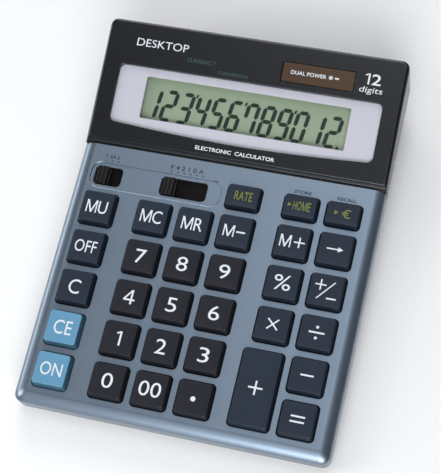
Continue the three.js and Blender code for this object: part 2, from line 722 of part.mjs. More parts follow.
// ---------------------------------------------------------------- bottom case
// A tray with screw tubes, foot recesses, and the battery bay with its door rails.
const deckRim = block(-far, far, -far, far, -far, -rimDepth + trayRise).applyMatrix4(deckToWorld);
let tray = solid(plate(trayWidth, trayLength, frontRadius, footHeight, seamZ, 2));
tray = cut(tray, plate(trayWidth - 2 * wall, trayLength - 2 * wall, frontRadius - wall, floorTop, far, 2));
const bayX0 = cellCentreX - bayHalfLength;
const bayX1 = cellCentreX + bayHalfLength;
const trayBackInner = trayBack - wall;
const rimBlock = solid(deckRim);
tray = tray.intersect(rimBlock);
let bay = solid(block(
  bayX0 - bayWall,
  bayX1 + bayWall,
  bayFront - bayWall,
  trayBackInner + wall / 2,
  floorTop - wall / 2,
  bayWallTop,
));
bay = cut(bay, block(bayX0, bayX1, bayFront, trayBackInner, floorTop - wall, bayWallTop + overlap));
tray = tray.add(bay.intersect(rimBlock));
for (const { x, worldY, tube } of screws) {
  tray = add(tray, post(x, worldY, tubeRadius, footHeight, footHeight + tube));
}
for (const { x, worldY, tube } of screws) {
  tray = cut(
    tray,
    post(x, worldY, screwHeadRadius + gap, footHeight - overlap, footHeight + tubeSeat),
    post(x, worldY, screwShankRadius + gap, footHeight, footHeight + tube + overlap),
  );
}
const openingHalf = doorHalfWidth + doorGap;
const flangeHalf = doorHalfWidth + doorGap + doorFlangeReach;
const doorFrontY = trayBack - doorFront;
tray = cut(
  tray,
  block(cellCentreX - openingHalf, cellCentreX + openingHalf, doorFrontY - doorGap, far, 0, floorTop),
  block(
    cellCentreX - flangeHalf - doorGap,
    cellCentreX + flangeHalf + doorGap,
    trayBackInner - overlap,
    far,
    floorTop,
    flangeHigh + doorGap,
  ),
);
const footX = trayWidth / 2 - footInsetX;
const footY = trayLength / 2 - footInsetY;
const feet = [
  { name: 'front_left_foot', x: -footX, y: -footY },
  { name: 'front_right_foot', x: footX, y: -footY },
  { name: 'rear_left_foot', x: -footX, y: footY - doorFront },
  { name: 'rear_right_foot', x: footX, y: footY - doorFront },
];
for (const { x, y } of feet) {
  tray = cut(tray, post(x, y, footRadius + gap, 0, footHeight + footRecess, 16));
}
const calculator = new THREE.Group();
piece(calculator, 'bottom_case', tray, looks.darkPlastic);

// ---------------------------------------------------------------- battery door
// It slides out of the back: a plate flush with the underside, and a flange inside the rails.
let door = solid(block(
  cellCentreX - doorHalfWidth,
  cellCentreX + doorHalfWidth,
  doorFrontY,
  trayBack,
  footHeight,
  doorTop,
));
door = add(door, block(
  cellCentreX - doorHalfWidth,
  cellCentreX + doorHalfWidth,
  doorFrontY + 2 * doorGap,
  trayBackInner - doorGap,
  doorTop - doorPlate / 2,
  flangeHigh,
));
door = add(door, block(
  cellCentreX - flangeHalf,
  cellCentreX + flangeHalf,
  doorFrontY + 2 * doorGap,
  trayBackInner - doorGap,
  flangeLow,
  flangeHigh,
));
piece(calculator, 'battery_door', door, looks.darkPlastic);

// ---------------------------------------------------------------- battery and contacts
const cellRadius = cellDiameter / 2;
const nubRadius = 2.6;
const nubLength = 1;
const cellProfile = [
  [0, 0],
  [cellRadius, 0],
  [cellRadius, cellLength - nubLength],
  [nubRadius, cellLength - nubLength],
  [nubRadius, cellLength],
  [0, cellLength],
].map(([x, y]) => new THREE.Vector2(x, y));
const cell = new THREE.LatheGeometry(cellProfile, 16).rotateZ(-Math.PI / 2);
piece(calculator, 'battery_cell', cell, looks.cellSleeve)
  .position.set(cellCentreX - cellLength / 2, cellY, cellZ);

const contactHalf = 4.5;
const plateContact = block(0, contactThickness, -contactHalf, contactHalf, -contactHalf, contactHalf);
piece(calculator, 'battery_plate_contact', plateContact, looks.steel)
  .position.set(cellCentreX + cellLength / 2 + gap, cellY, cellZ);

// Conical spring: each turn is a ridge of the profile, on a square foot plate.
const springTurns = 3;
const springMargin = 0.5;
const springTaper = 0.8;
const springWaist = 0.6;
const springLength = bayEndRoom - 3 * gap;
const springPoints = [new THREE.Vector2(0, 0)];
for (let i = 0; i < springTurns; i += 1) {
  const radius = contactHalf - springMargin - i * springTaper;
  const low = (i / springTurns) * springLength;
  const high = ((i + 1) / springTurns) * springLength;
  springPoints.push(new THREE.Vector2(radius, low), new THREE.Vector2(radius, (low + high) / 2));
  springPoints.push(new THREE.Vector2(radius - springWaist, high));
}
springPoints.push(new THREE.Vector2(0, springLength));
const spring = new THREE.LatheGeometry(springPoints, 12).rotateZ(-Math.PI / 2);
const springFoot = block(0, contactThickness, -contactHalf, contactHalf, -contactHalf, contactHalf);
piece(calculator, 'battery_spring_contact', add(solid(spring), springFoot), looks.steel)
  .position.set(bayX0 + gap, cellY, cellZ);

// ---------------------------------------------------------------- screws and feet
for (const { name, x, worldY, tube } of screws) {
  const seat = tubeSeat - gap;
  const profile = [
    [0, seat - screwHeadHeight],
    [screwHeadRadius, seat - screwHeadHeight],
    [screwHeadRadius, seat],
    [screwShankRadius, seat],
    [screwShankRadius, tube + screwBite - gap],
    [0, tube + screwBite],
  ].map(([radius, height]) => new THREE.Vector2(radius, height));
  const screw = new THREE.LatheGeometry(profile, 12).rotateX(Math.PI / 2);
  piece(calculator, name, screw, looks.steel).position.set(x, worldY, footHeight);
}

const footChamfer = 0.4;
const footTop = footHeight + footRecess - gap;
for (const { name, x, y } of feet) {
  const profile = [
    [0, 0],
    [footRadius - footChamfer, 0],
    [footRadius, footChamfer],
    [footRadius, footTop],
    [0, footTop],
  ].map(([radius, height]) => new THREE.Vector2(radius, height));
  const foot = new THREE.LatheGeometry(profile, 16).rotateX(Math.PI / 2);
  piece(calculator, name, foot, looks.rubber).position.set(x, y, 0);
}

calculator.add(deck);

export default calculator;
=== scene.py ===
"""Desk calculator: the looks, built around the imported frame. Metres, in the frame's own axes."""
import json
import math

import bmesh
import bpy
from mathutils import Matrix, Vector


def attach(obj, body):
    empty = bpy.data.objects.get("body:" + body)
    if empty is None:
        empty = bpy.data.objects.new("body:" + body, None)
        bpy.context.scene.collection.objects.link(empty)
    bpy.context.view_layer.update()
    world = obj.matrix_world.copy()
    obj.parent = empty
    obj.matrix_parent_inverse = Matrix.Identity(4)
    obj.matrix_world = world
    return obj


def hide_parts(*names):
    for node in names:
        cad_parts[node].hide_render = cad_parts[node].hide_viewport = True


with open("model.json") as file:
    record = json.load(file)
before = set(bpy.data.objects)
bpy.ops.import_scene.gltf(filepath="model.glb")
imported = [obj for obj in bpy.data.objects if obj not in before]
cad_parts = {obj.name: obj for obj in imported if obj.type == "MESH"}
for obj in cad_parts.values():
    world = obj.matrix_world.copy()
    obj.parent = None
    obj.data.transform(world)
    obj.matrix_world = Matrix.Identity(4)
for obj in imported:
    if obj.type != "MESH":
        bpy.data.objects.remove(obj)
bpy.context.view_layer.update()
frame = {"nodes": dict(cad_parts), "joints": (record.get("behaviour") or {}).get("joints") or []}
scene = bpy.context.scene

# ---------------------------------------------------------------- camera
# It looks down on the whole calculator from above its front right corner, rolled a little, through
# a long lens.
view_azimuth = math.radians(28.7)
view_elevation = math.radians(65.6)
view_roll = math.radians(-16.3)
view_distance = 0.6346
view_target = Vector((-0.00165, 0.00569, 0))

camera_data = bpy.data.cameras.new("camera")
camera_data.lens = 106.5
camera_data.clip_start = 0.01
camera = bpy.data.objects.new("camera", camera_data)
scene.collection.objects.link(camera)
scene.camera = camera
camera.matrix_world = (
    Matrix.Translation(view_target)
    @ Matrix.Rotation(view_azimuth, 4, "Z")
    @ Matrix.Rotation(math.pi / 2 - view_elevation, 4, "X")
    @ Matrix.Rotation(view_roll, 4, "Z")
    @ Matrix.Translation((0, 0, view_distance))
)


# ---------------------------------------------------------------- floor and light
# A sheet of matt white card on a table. Softboxes stand in front, behind and low on the left, under
# a ceiling that is brighter to the right and has a dark strip across it. The right wall is dark.
def linear(colour):
    """An sRGB hex colour, such as "#8090a0", as linear red, green, blue and alpha."""
    channels = [int(colour[i : i + 2], 16) / 255 for i in (1, 3, 5)]
    return [c / 12.92 if c <= 0.04045 else ((c + 0.055) / 1.055) ** 2.4 for c in channels] + [1]


def new_material(name):
    material = bpy.data.materials.new(name)
    material.use_nodes = True
    material.node_tree.nodes.clear()
    return material


def add_node(material, kind, inputs=None, **settings):
    """Adds one node. An input takes a value, or (node, output) to be linked from."""
    made = material.node_tree.nodes.new("ShaderNode" + kind)
    for setting, value in settings.items():
        setattr(made, setting, value)
    for socket, value in (inputs or {}).items():
        if isinstance(value, tuple) and isinstance(value[0], bpy.types.Node):
            material.node_tree.links.new(value[0].outputs[value[1]], made.inputs[socket])
        else:
            made.inputs[socket].default_value = value
    return made


def per_mm(size):
    """The scale of a pattern whose features are this many millimetres wide."""
    return 1000 / size


def matt_card():
    """Uncoated card: a matt face, with paper fibres that show only close up."""
    material = new_material("matt white card")
    place = add_node(material, "TexCoord")
    fibres = add_node(material, "TexNoise", {
        "Vector": (place, "Object"), "Scale": per_mm(1.5), "Detail": 3.0})
    tone = add_node(material, "MixRGB", {
        "Fac": (fibres, "Fac"), "Color1": linear("#dcdcdc"), "Color2": linear("#e4e4e4")})
    relief = add_node(material, "Bump", {
        "Height": (fibres, "Fac"), "Strength": 0.05, "Distance": 0.0001})
    shader = add_node(material, "BsdfPrincipled", {
        "Base Color": (tone, "Color"), "Roughness": 0.9, "Specular IOR Level": 0.1,
        "Normal": (relief, "Normal")})
    add_node(material, "OutputMaterial", {"Surface": (shader, "BSDF")})
    return material


def flat_sheet(name, width, length, place, material):
    shape = bmesh.new()
    bmesh.ops.create_grid(shape, x_segments=1, y_segments=1, size=0.5)
    bmesh.ops.scale(shape, vec=(width, length, 1), verts=shape.verts)
    mesh = bpy.data.meshes.new(name)
    shape.to_mesh(mesh)
    shape.free()
    mesh.materials.append(material)
    made = bpy.data.objects.new(name, mesh)
    scene.collection.objects.link(made)
    made.matrix_world = place
    return made


flat_sheet("floor", 6, 6, Matrix.Identity(4), matt_card())


def softbox(name, place, aim, width, length, power):
    data = bpy.data.lights.new(name, "AREA")
    data.shape = "RECTANGLE"
    data.size = width
    data.size_y = length
    data.energy = power
    light = bpy.data.objects.new(name, data)
    scene.collection.objects.link(light)
    facing = (Vector(aim) - Vector(place)).to_track_quat("-Z", "Y").to_matrix().to_4x4()
    light.matrix_world = Matrix.Translation(place) @ facing


softbox("back_softbox", (-0.3, 0.95, 0.7), (0, 0, 0), 0.6, 0.5, 5)
softbox("side_softbox", (-0.95, -0.35, 0.6), (0, 0, 0), 0.5, 0.5, 4.5)
softbox("front_softbox", (0.27, -0.85, 0.6), (0, 0, 0), 0.7, 0.5, 8)
softbox("left_softbox", (-1.05, 0.28, 0.26), (0, 0, 0), 0.6, 0.3, 2.2)

world = bpy.data.worlds.new("studio")
scene.world = world
world.use_nodes = True
world.node_tree.nodes.clear()
direction = add_node(world, "TexCoord")
sideways = add_node(world, "SeparateXYZ", {"Vector": (direction, "Generated")})
ceiling = add_node(world, "MapRange", {
    "Value": (sideways, "X"), "From Min": -0.35, "From Max": -0.05, "To Min": 0.2, "To Max": 2.3})
strip_side = add_node(world, "Math", {0: (sideways, "Y"), 1: 0.1}, operation="ADD")
strip_distance = add_node(world, "Math", {0: (strip_side, "Value")}, operation="ABSOLUTE")
dark_strip = add_node(world, "MapRange", {
    "Value": (strip_distance, "Value"), "From Min": 0.06, "From Max": 0.16, "To Min": 0.15, "To Max": 1.0})
back_wall = add_node(world, "MapRange", {
    "Value": (sideways, "Y"), "From Min": 0.4, "From Max": 0.7, "To Min": 1.0, "To Max": 0.35})
dark_side = add_node(world, "MapRange", {
    "Value": (sideways, "X"), "From Min": 0.1, "From Max": 0.5, "To Min": 1.0, "To Max": 0.05})
room_light = (ceiling, "Result")
for part_of_room in (dark_strip, back_wall, dark_side):
    dimmed = add_node(world, "Math", {0: room_light, 1: (part_of_room, "Result")}, operation="MULTIPLY")
    room_light = (dimmed, "Value")
room = add_node(world, "Background", {"Color": linear("#eef2f8"), "Strength": room_light})
add_node(world, "OutputWorld", {"Surface": (room, "Background")})
scene.view_settings.view_transform = "Standard"

# ---------------------------------------------------------------- the body's frames
# The deck slopes up from the front edge, and the head slopes more. A key's press direction gives the
# deck's slope, and the solar panel's top face the head's.
MM = 0.001
seam_half_gap = 0.15 * MM


def turned_box(node, turn):
    """Lowest and highest corners of a CAD node, seen in a turned or moved frame, in its units."""
    back = turn.inverted()
    points = [back @ vertex.co for vertex in frame["nodes"][node].data.vertices]
    return [Vector([pick(point[axis] for point in points) for axis in range(3)]) for pick in (min, max)]


press_axis = Vector(next(j["axis"] for j in frame["joints"] if j["name"] == "press_7"))
deck_tilt = math.atan2(press_axis.y, -press_axis.z)
deck_turn = Matrix.Rotation(deck_tilt, 4, "X")
seam_along = turned_box("display_cover", deck_turn)[0].y - seam_half_gap
deck_height = turned_box("top_case", deck_turn)[1].z
deck_frame = deck_turn @ Matrix.Translation((0, seam_along, deck_height))

panel_faces = frame["nodes"]["solar_panel"].data.polygons
head_normal = max(panel_faces, key=lambda face: face.area * (face.normal.z > 0)).normal
head_tilt = math.atan2(-head_normal.y, head_normal.z) - deck_tilt
head_turn = deck_turn @ Matrix.Rotation(head_tilt, 4, "X")
head_height = turned_box("display_cover", head_turn)[1].z
seam_height = (head_turn.inverted() @ deck_frame.translation).z
step_up = Vector((0, 0, (head_height - seam_height) / math.cos(head_tilt)))
head_frame = deck_frame @ Matrix.Translation(step_up) @ Matrix.Rotation(head_tilt, 4, "X")
head_rise = math.tan(head_tilt)
cover_lip = step_up.z / MM


def box_mm(node, place):
    """A CAD node's lowest and highest corners in the deck's or the head's frame, in millimetres."""
    return [corner / MM for corner in turned_box(node, place)]


# ---------------------------------------------------------------- keys
# Thirty-two caps of moulded ABS with a matt, finely sparked surface: slate for functions, near black
# for digits, light blue for ON and CE. Each has a dished top, leaning sides, a flange below the deck
# and a plunger inside, and its legend is pad printed.
def moulded_abs(name, colour, shade, roughness, grain=0.35, relief_depth=0.02, worn="#ffffff",
                wear=0.0, shine=0.22, painted_side_shade=1.0):
    """Moulded ABS: two close tones, spark-eroded grain, worn edges, and painted shade that darkens the sides.
    """
    material = new_material(name)
    place = add_node(material, "TexCoord")
    mottle = add_node(material, "TexNoise", {
        "Vector": (place, "Object"), "Scale": per_mm(14), "Detail": 4.0, "Roughness": 0.6})
    tone = add_node(material, "MixRGB", {
        "Fac": (mottle, "Fac"), "Color1": linear(shade), "Color2": linear(colour)})
    surface = add_node(material, "NewGeometry")
    edges = add_node(material, "MapRange", {
        "Value": (surface, "Pointiness"), "From Min": 0.52, "From Max": 0.62, "To Max": wear})
    edged = add_node(material, "MixRGB", {
        "Fac": (edges, "Result"), "Color1": (tone, "Color"), "Color2": linear(worn)})
    # Painted shade: faces that turn from straight up towards the side are darkened, down to the given tone.
    facing = add_node(material, "SeparateXYZ", {"Vector": (surface, "Normal")})
    shade_by_facing = add_node(material, "MapRange", {
        "Value": (facing, "Z"), "From Min": 0.35, "From Max": 0.9, "To Min": painted_side_shade})
    shaded_sides = add_node(material, "HueSaturation", {"Color": (edged, "Color"), "Value": (shade_by_facing, "Result")})
    sparks = add_node(material, "TexNoise", {
        "Vector": (place, "Object"), "Scale": per_mm(grain), "Detail": 2.0})
    gloss = add_node(material, "MapRange", {
        "Value": (sparks, "Fac"), "To Min": roughness - 0.06, "To Max": roughness + 0.06})
    relief = add_node(material, "Bump", {
        "Height": (sparks, "Fac"), "Strength": 0.35, "Distance": relief_depth * MM})
    shader = add_node(material, "BsdfPrincipled", {
        "Base Color": (shaded_sides, "Color"), "Roughness": (gloss, "Result"), "IOR": 1.54,
        "Specular IOR Level": shine, "Normal": (relief, "Normal")})
    add_node(material, "OutputMaterial", {"Surface": (shader, "BSDF")})
    return material


# The keys' sides get painted shade, deepest on the light blue keys.
slate_abs = moulded_abs(
    "slate moulded ABS", "#1c2635", "#18212e", 0.5, worn="#7d8b98", wear=0.5, painted_side_shade=0.5)
charcoal_abs = moulded_abs(
    "charcoal moulded ABS", "#191a22", "#15151c", 0.5, worn="#6f6f7c", wear=0.5, painted_side_shade=0.5)
blue_abs = moulded_abs(
    "light blue moulded ABS", "#5b8ba8", "#5484a1", 0.45, worn="#9fd0ee", wear=0.4, painted_side_shade=0.35)


def pad_print(name, colour):
    """Pad printing ink: a thin, slightly uneven film that is duller than the plastic under it."""
    material = new_material(name)
    place = add_node(material, "TexCoord")
    film = add_node(material, "TexNoise", {
        "Vector": (place, "Object"), "Scale": per_mm(0.5), "Detail": 3.0})
    cover = add_node(material, "MapRange", {"Value": (film, "Fac"), "To Min": 0.93, "To Max": 1.03})
    tone = add_node(material, "HueSaturation", {"Color": linear(colour), "Value": (cover, "Result")})
    shader = add_node(material, "BsdfPrincipled", {
        "Base Color": (tone, "Color"), "Roughness": 0.6, "IOR": 1.5})
    add_node(material, "OutputMaterial", {"Surface": (shader, "BSDF")})
    return material


white_ink = pad_print("white pad printing ink", "#ccd2d6")
green_ink = pad_print("yellow-green pad printing ink", "#6f7426")


def quarter_round(radius, steps):
    """Steps of a rounded edge, from side to top: how far in, and how far below the top."""
    angles = [step / steps * math.pi / 2 for step in range(steps + 1)]
    return [(radius * (1 - math.cos(angle)), radius * (1 - math.sin(angle))) for angle in angles]


def rounded_outline(half_x, half_y, radius, corner_steps=6, side_steps=1):
    """Points of a rounded rectangle, anticlockwise, starting with its lower right corner."""
    arcs = []
    for quarter, (side_x, side_y) in enumerate(((1, -1), (1, 1), (-1, 1), (-1, -1))):
        arc = []
        for step in range(corner_steps + 1):
            angle = (quarter - 1 + step / corner_steps) * math.pi / 2
            x = side_x * (half_x - radius) + radius * math.cos(angle)
            y = side_y * (half_y - radius) + radius * math.sin(angle)
            arc.append((x, y))
        arcs.append(arc)
    points = []
    for arc, following in zip(arcs, arcs[1:] + arcs[:1]):
        points += arc
        start, end = Vector(arc[-1]), Vector(following[0])
        points += [tuple(start.lerp(end, step / side_steps)) for step in range(1, side_steps)]
    return points


def loft(rings):
    """A closed shape through rings that have the same number of points, capped at both ends."""
    shape = bmesh.new()
    loops = [[shape.verts.new(point) for point in ring] for ring in rings]
    for lower, upper in zip(loops, loops[1:]):
        for i in range(len(lower)):
            j = (i + 1) % len(lower)
            shape.faces.new((lower[i], lower[j], upper[j], upper[i]))
    shape.faces.new(reversed(loops[0]))
    shape.faces.new(loops[-1])
    return shape


def add_shape(whole, part):
    """Adds one shape to another and frees it."""
    spare = bpy.data.meshes.new("part")
    part.to_mesh(spare)
    part.free()
    whole.from_mesh(spare)
    bpy.data.meshes.remove(spare)


def mark_edges(mesh, sharp_angle=35):
    mesh.polygons.foreach_set("use_smooth", [True] * len(mesh.polygons))
    mesh.set_sharp_from_angle(angle=math.radians(sharp_angle))


def make_piece(name, shape, place, material, sharp_angle=35):
    """Turns a shape in millimetres into an object in metres that stands in a frame."""
    bmesh.ops.recalc_face_normals(shape, faces=shape.faces)
    bmesh.ops.scale(shape, vec=(MM, MM, MM), verts=shape.verts)
    mesh = bpy.data.meshes.new(name)
    shape.to_mesh(mesh)
    shape.free()
    mark_edges(mesh, sharp_angle)
    mesh.materials.append(material)
    made = bpy.data.objects.new(name, mesh)
    scene.collection.objects.link(made)
    made.matrix_world = place
    return made


def finish_piece(piece, body, slot, *nodes):
    """Rides a piece on its body and hides the CAD nodes it stands for. The slot is not used."""
    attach(piece, body)
    if nodes:
        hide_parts(*nodes)


key_flange = 1.0  # beyond the cap, on each side
key_flange_top = -2.3
key_flange_low = -3.0
key_base_radius = 1.7
key_lean = 0.6  # how far the sides lean in by the start of the top edge
key_edge = 0.5
key_top_radius = 1.2
key_dish = 0.3
key_pocket = 2.8
key_ceiling = 1.6
plunger_half = 2.0


def key_dish_height(x, y, half_x, half_y, top):
    """Height of the dished top: full at the rim, and nearly level in the middle."""
    return top - key_dish * max(0, 1 - (x / half_x) ** 4) * max(0, 1 - (y / half_y) ** 4)


def keycap(half_x, half_y, top, plunger_end):
    top_inset = key_lean + key_edge
    face_x = half_x - top_inset
    face_y = half_y - top_inset

    def ring(inset, radius, height):
        outline = rounded_outline(half_x - inset, half_y - inset, radius, 6, 4)
        return [(x, y, height) for x, y in outline]

    def face_ring(share):
        outline = rounded_outline(face_x * share, face_y * share, key_top_radius * share, 6, 4)
        return [(x, y, key_dish_height(x, y, face_x, face_y, top)) for x, y in outline]

    rings = [face_ring(share) for share in (0.12, 0.3, 0.5, 0.65, 0.76, 0.85, 0.92, 0.97)]
    edge_steps = 6
    for step, (down, inwards) in enumerate(quarter_round(key_edge, edge_steps)):
        rings.append(ring(key_lean + inwards, key_top_radius + 0.2 * step / edge_steps, top - down))
    rings += [
        ring(0.25, 1.6, 0.8),
        ring(0, key_base_radius, 0),
        ring(0, key_base_radius, key_flange_top),
        ring(-key_flange, key_base_radius + 0.6, key_flange_top),
        ring(-key_flange, key_base_radius + 0.6, key_flange_low),
        ring(key_pocket, 0.8, key_flange_low),
        ring(key_pocket, 0.8, top - key_ceiling),
    ]
    for height in (top - key_ceiling, plunger_end):
        outline = rounded_outline(plunger_half, plunger_half, 0.5, 6, 4)
        rings.append([(x, y, height) for x, y in outline])
    return loft(rings)


ink_film = 0.03  # thickness of a printed legend

# Letters drawn with strokes of an even weight, as outlines in a box one unit high.
drawn_letters = {
    "M": [[(0, 0), (0.12, 0), (0.12, 0.76), (0.465, 0), (0.585, 0), (0.93, 0.76), (0.93, 0), (1.05, 0),
           (1.05, 1), (0.875, 1), (0.525, 0.21), (0.175, 1), (0, 1)]],
    "4": [[(0.49, 0), (0.62, 0), (0.62, 1), (0.49, 1)], [(0, 0.24), (0.49, 0.24), (0.49, 0.36), (0, 0.36)],
          [(0.62, 0.24), (0.8, 0.24), (0.8, 0.36), (0.62, 0.36)],
          [(0, 0.36), (0.15, 0.36), (0.49, 0.83), (0.49, 1)]],
    "1": [[(0.25, 0), (0.38, 0), (0.38, 1), (0.25, 1)], [(0.03, 0.78), (0.25, 0.88), (0.25, 1), (0.03, 0.9)]],
}


def lettering(text, width, height, weight=0.0, slant=0.0):
    """Letters as a thin film, fitted to a width and a height and centred. No width keeps the font's."""
    if text in drawn_letters:
        shape = add_film(bmesh.new(), drawn_letters[text])
        return fit_film(shape, width, height)
    curve = bpy.data.curves.new("lettering", "FONT")
    curve.body = text
    curve.offset = weight
    curve.extrude = 0.01
    curve.shear = slant
    curve.resolution_u = 4
    holder = bpy.data.objects.new("lettering", curve)
    scene.collection.objects.link(holder)
    bpy.context.view_layer.update()
    mesh = bpy.data.meshes.new_from_object(holder.evaluated_get(bpy.context.evaluated_depsgraph_get()))
    shape = bmesh.new()
    shape.from_mesh(mesh)
    bpy.data.objects.remove(holder)
    bpy.data.curves.remove(curve)
    bpy.data.meshes.remove(mesh)
    bmesh.ops.remove_doubles(shape, verts=shape.verts, dist=1e-5)
    return fit_film(shape, width, height)


def fit_film(shape, width, height):
    low = Vector([min(v.co[axis] for v in shape.verts) for axis in range(3)])
    high = Vector([max(v.co[axis] for v in shape.verts) for axis in range(3)])
    size = high - low
    rise = height / size.y
    across = width / size.x if width else rise
    bmesh.ops.translate(shape, vec=-(low + high) / 2, verts=shape.verts)
    bmesh.ops.scale(shape, vec=(across, rise, ink_film / size.z), verts=shape.verts)
    return shape


def add_film(shape, outlines):
    """Adds each outline of points to a shape, as a thin film."""
    for outline in outlines:
        faces = []
        for height in (-ink_film / 2, ink_film / 2):
            faces.append([shape.verts.new((x, y, height)) for x, y in outline])
        lower, upper = faces
        shape.faces.new(reversed(lower))
        shape.faces.new(upper)
        for i in range(len(lower)):
            j = (i + 1) % len(lower)
            shape.faces.new((lower[i], lower[j], upper[j], upper[i]))
    return shape


def bar(x, y, length, thickness, degrees=0):
    turn = Matrix.Rotation(math.radians(degrees), 2)
    corners = ((-1, -1), (1, -1), (1, 1), (-1, 1))
    return [tuple(turn @ Vector((u * length / 2, v * thickness / 2)) + Vector((x, y))) for u, v in corners]


def dot(x, y, radius, points=20):
    turns = [2 * math.pi * i / points for i in range(points)]
    return [(x + radius * math.cos(turn), y + radius * math.sin(turn)) for turn in turns]


def cross(x, y, size, thickness, degrees=0):
    """One long stroke and two short ones that meet it."""
    turn = Matrix.Rotation(math.radians(degrees), 2)
    short = (size - thickness) / 2
    strokes = [bar(x, y, size, thickness, degrees)]
    for side in (-1, 1):
        centre = turn @ Vector((0, side * (thickness + short) / 2)) + Vector((x, y))
        strokes.append(bar(centre.x, centre.y, thickness, short, degrees))
    return strokes


stroke = 0.75
# Printed letters of each key: text, width, height and shift from the middle.
key_letters = {
    "key_mu": [("M", 4.9, 5.9, -2.35), ("U", 4.1, 5.9, 2.75)],
    "key_mc": [("M", 4.9, 5.9, -2.35), ("C", 4.2, 6.0, 2.75)],
    "key_mr": [("M", 4.9, 5.9, -2.35), ("R", 3.8, 5.9, 2.75)],
    "key_m_minus": [("M", 4.9, 5.4, -2.45)],
    "key_m_plus": [("M", 4.9, 5.6, -2.85)],
    "key_off": [("OFF", 10, 5.6, 0)],
    "key_clear": [("C", 5.2, 6.6, 0)],
    "key_percent": [("%", 7.5, 6.9, 0)],
    "key_clear_entry": [("CE", 8.1, 6.3, 0)],
    "key_on": [("ON", 9.7, 5.8, 0)],
    "key_0": [("0", 4.9, 6.6, 0)], "key_00": [("00", 9.75, 6.5, 0)], "key_1": [("1", None, 6.4, 0)],
    "key_2": [("2", 4.7, 6.6, 0)], "key_3": [("3", 4.7, 6.6, 0)], "key_4": [("4", 5.1, 6.5, 0)],
    "key_5": [("5", 4.6, 6.5, 0)], "key_6": [("6", 4.9, 6.6, 0)], "key_7": [("7", 4.9, 6.4, 0)],
    "key_8": [("8", 4.9, 6.6, 0)], "key_9": [("9", 4.9, 6.6, 0)],
    "key_rate": [("RATE", 8.0, 4.2, 0.3)],
    "key_home_currency": [("HO", 3.6, 4.1, -1.3), ("M", 2.1, 4.1, 1.9), ("E", 1.35, 4.1, 3.95)],
    "key_other_currency": [("C", 3.1, 4.1, 1.9)],
}
key_marks = {
    "key_m_minus": [bar(2.9, -0.1, 4.0, stroke)],
    "key_m_plus": cross(3.3, 0, 4.8, 0.65),
    "key_multiply": cross(0, 0, 6.6, 0.65, 45),
    "key_divide": [bar(0, 0, 6.75, stroke), dot(0, 2.4, 0.65), dot(0, -2.4, 0.65)],
    "key_minus": [bar(0, 0, 5.6, stroke)],
    "key_equals": [bar(0, 1.15, 6.1, stroke), bar(0, -1.15, 6.1, stroke)],
    "key_plus": cross(0, 0, 6.2, stroke),
    "key_decimal_point": [dot(0, -0.4, 1.1)],
    "key_change_sign": cross(-2.6, 2.3, 4.8, 0.6) + [bar(0, 0, 10.6, 0.5, 50), bar(2.9, -3.4, 4.2, 0.7)],
    "key_backspace": [bar(-1.1, 0, 5.0, 0.6), [(1.4, -1.2), (3.6, 0), (1.4, 1.2)]],
    "key_home_currency": [[(-5.5, -1.0), (-3.8, 0), (-5.5, 1.0)]],
    "key_other_currency": [
        [(-3.7, -1.0), (-2.0, 0), (-3.7, 1.0)], bar(1.0, 0.45, 2.8, 0.45), bar(1.0, -0.45, 2.8, 0.45)],
}
blue_keys = ("key_clear_entry", "key_on")
green_legends = ("key_rate", "key_home_currency", "key_other_currency")
for name in sorted(node for node in frame["nodes"] if node.startswith("key_")):
    low, high = box_mm(name, deck_frame)
    middle = (low + high) / 2
    half_x = (high.x - low.x) / 2 - key_flange
    half_y = (high.y - low.y) / 2 - key_flange
    if name in blue_keys:
        finish, slot = blue_abs, "blue_key"
    elif name[4:].isdigit() or name == "key_decimal_point":
        finish, slot = charcoal_abs, "charcoal_key"
    else:
        finish, slot = slate_abs, "slate_key"
    place = deck_frame @ Matrix.Translation(Vector((middle.x, middle.y, 0)) * MM)
    cap = make_piece(name + "_cap", keycap(half_x, half_y, high.z, low.z), place, finish)
    finish_piece(cap, name, slot, name)

    legend = add_film(bmesh.new(), key_marks.get(name, []))
    for text, width, height, shift in key_letters.get(name, []):
        letters = lettering(text, width, height)
        bmesh.ops.translate(letters, vec=(shift, 0, 0), verts=letters.verts)
        add_shape(legend, letters)
    face_x = half_x - key_lean - key_edge
    face_y = half_y - key_lean - key_edge
    for vertex in legend.verts:
        vertex.co.z += key_dish_height(vertex.co.x, vertex.co.y, face_x, face_y, high.z) + ink_film
    ink = green_ink if name in green_legends else white_ink
    print_piece = make_piece(name + "_legend", legend, place, ink)
    finish_piece(print_piece, name, slot)


# ---------------------------------------------------------------- top case
# One ABS moulding, sprayed with silver-blue metallic lacquer: the deck plate, its rounded shoulders
# and the rim. The key holes have rolled edges, and the switches sit in a shallow recess.
def metallic_lacquer(name, colour, shade):
    """Lacquer with fine aluminium flakes: a satin metal whose sparkle varies from grain to grain."""
    material = new_material(name)
    place = add_node(material, "TexCoord")
    flakes = add_node(material, "TexNoise", {
        "Vector": (place, "Object"), "Scale": per_mm(0.4), "Detail": 2.0})
    clouds = add_node(material, "TexNoise", {
        "Vector": (place, "Object"), "Scale": per_mm(40), "Detail": 3.0})
    tone = add_node(material, "MixRGB", {
        "Fac": (clouds, "Fac"), "Color1": linear(shade), "Color2": linear(colour)})
    sparkle = add_node(material, "MapRange", {"Value": (flakes, "Fac"), "To Min": 0.9, "To Max": 1.1})
    lit = add_node(material, "HueSaturation", {"Color": (tone, "Color"), "Value": (sparkle, "Result")})
    gloss = add_node(material, "MapRange", {"Value": (flakes, "Fac"), "To Min": 0.27, "To Max": 0.37})
    relief = add_node(material, "Bump", {
        "Height": (flakes, "Fac"), "Strength": 0.1, "Distance": 0.01 * MM})
    shader = add_node(material, "BsdfPrincipled", {
        "Base Color": (lit, "Color"), "Metallic": 0.85, "Roughness": (gloss, "Result"),
        "Coat Weight": 0.15, "Coat Roughness": 0.2, "Normal": (relief, "Normal")})
    add_node(material, "OutputMaterial", {"Surface": (shader, "BSDF")})
    return material


silver_lacquer = metallic_lacquer("silver-blue metallic lacquer on ABS", "#778593", "#717f8d")


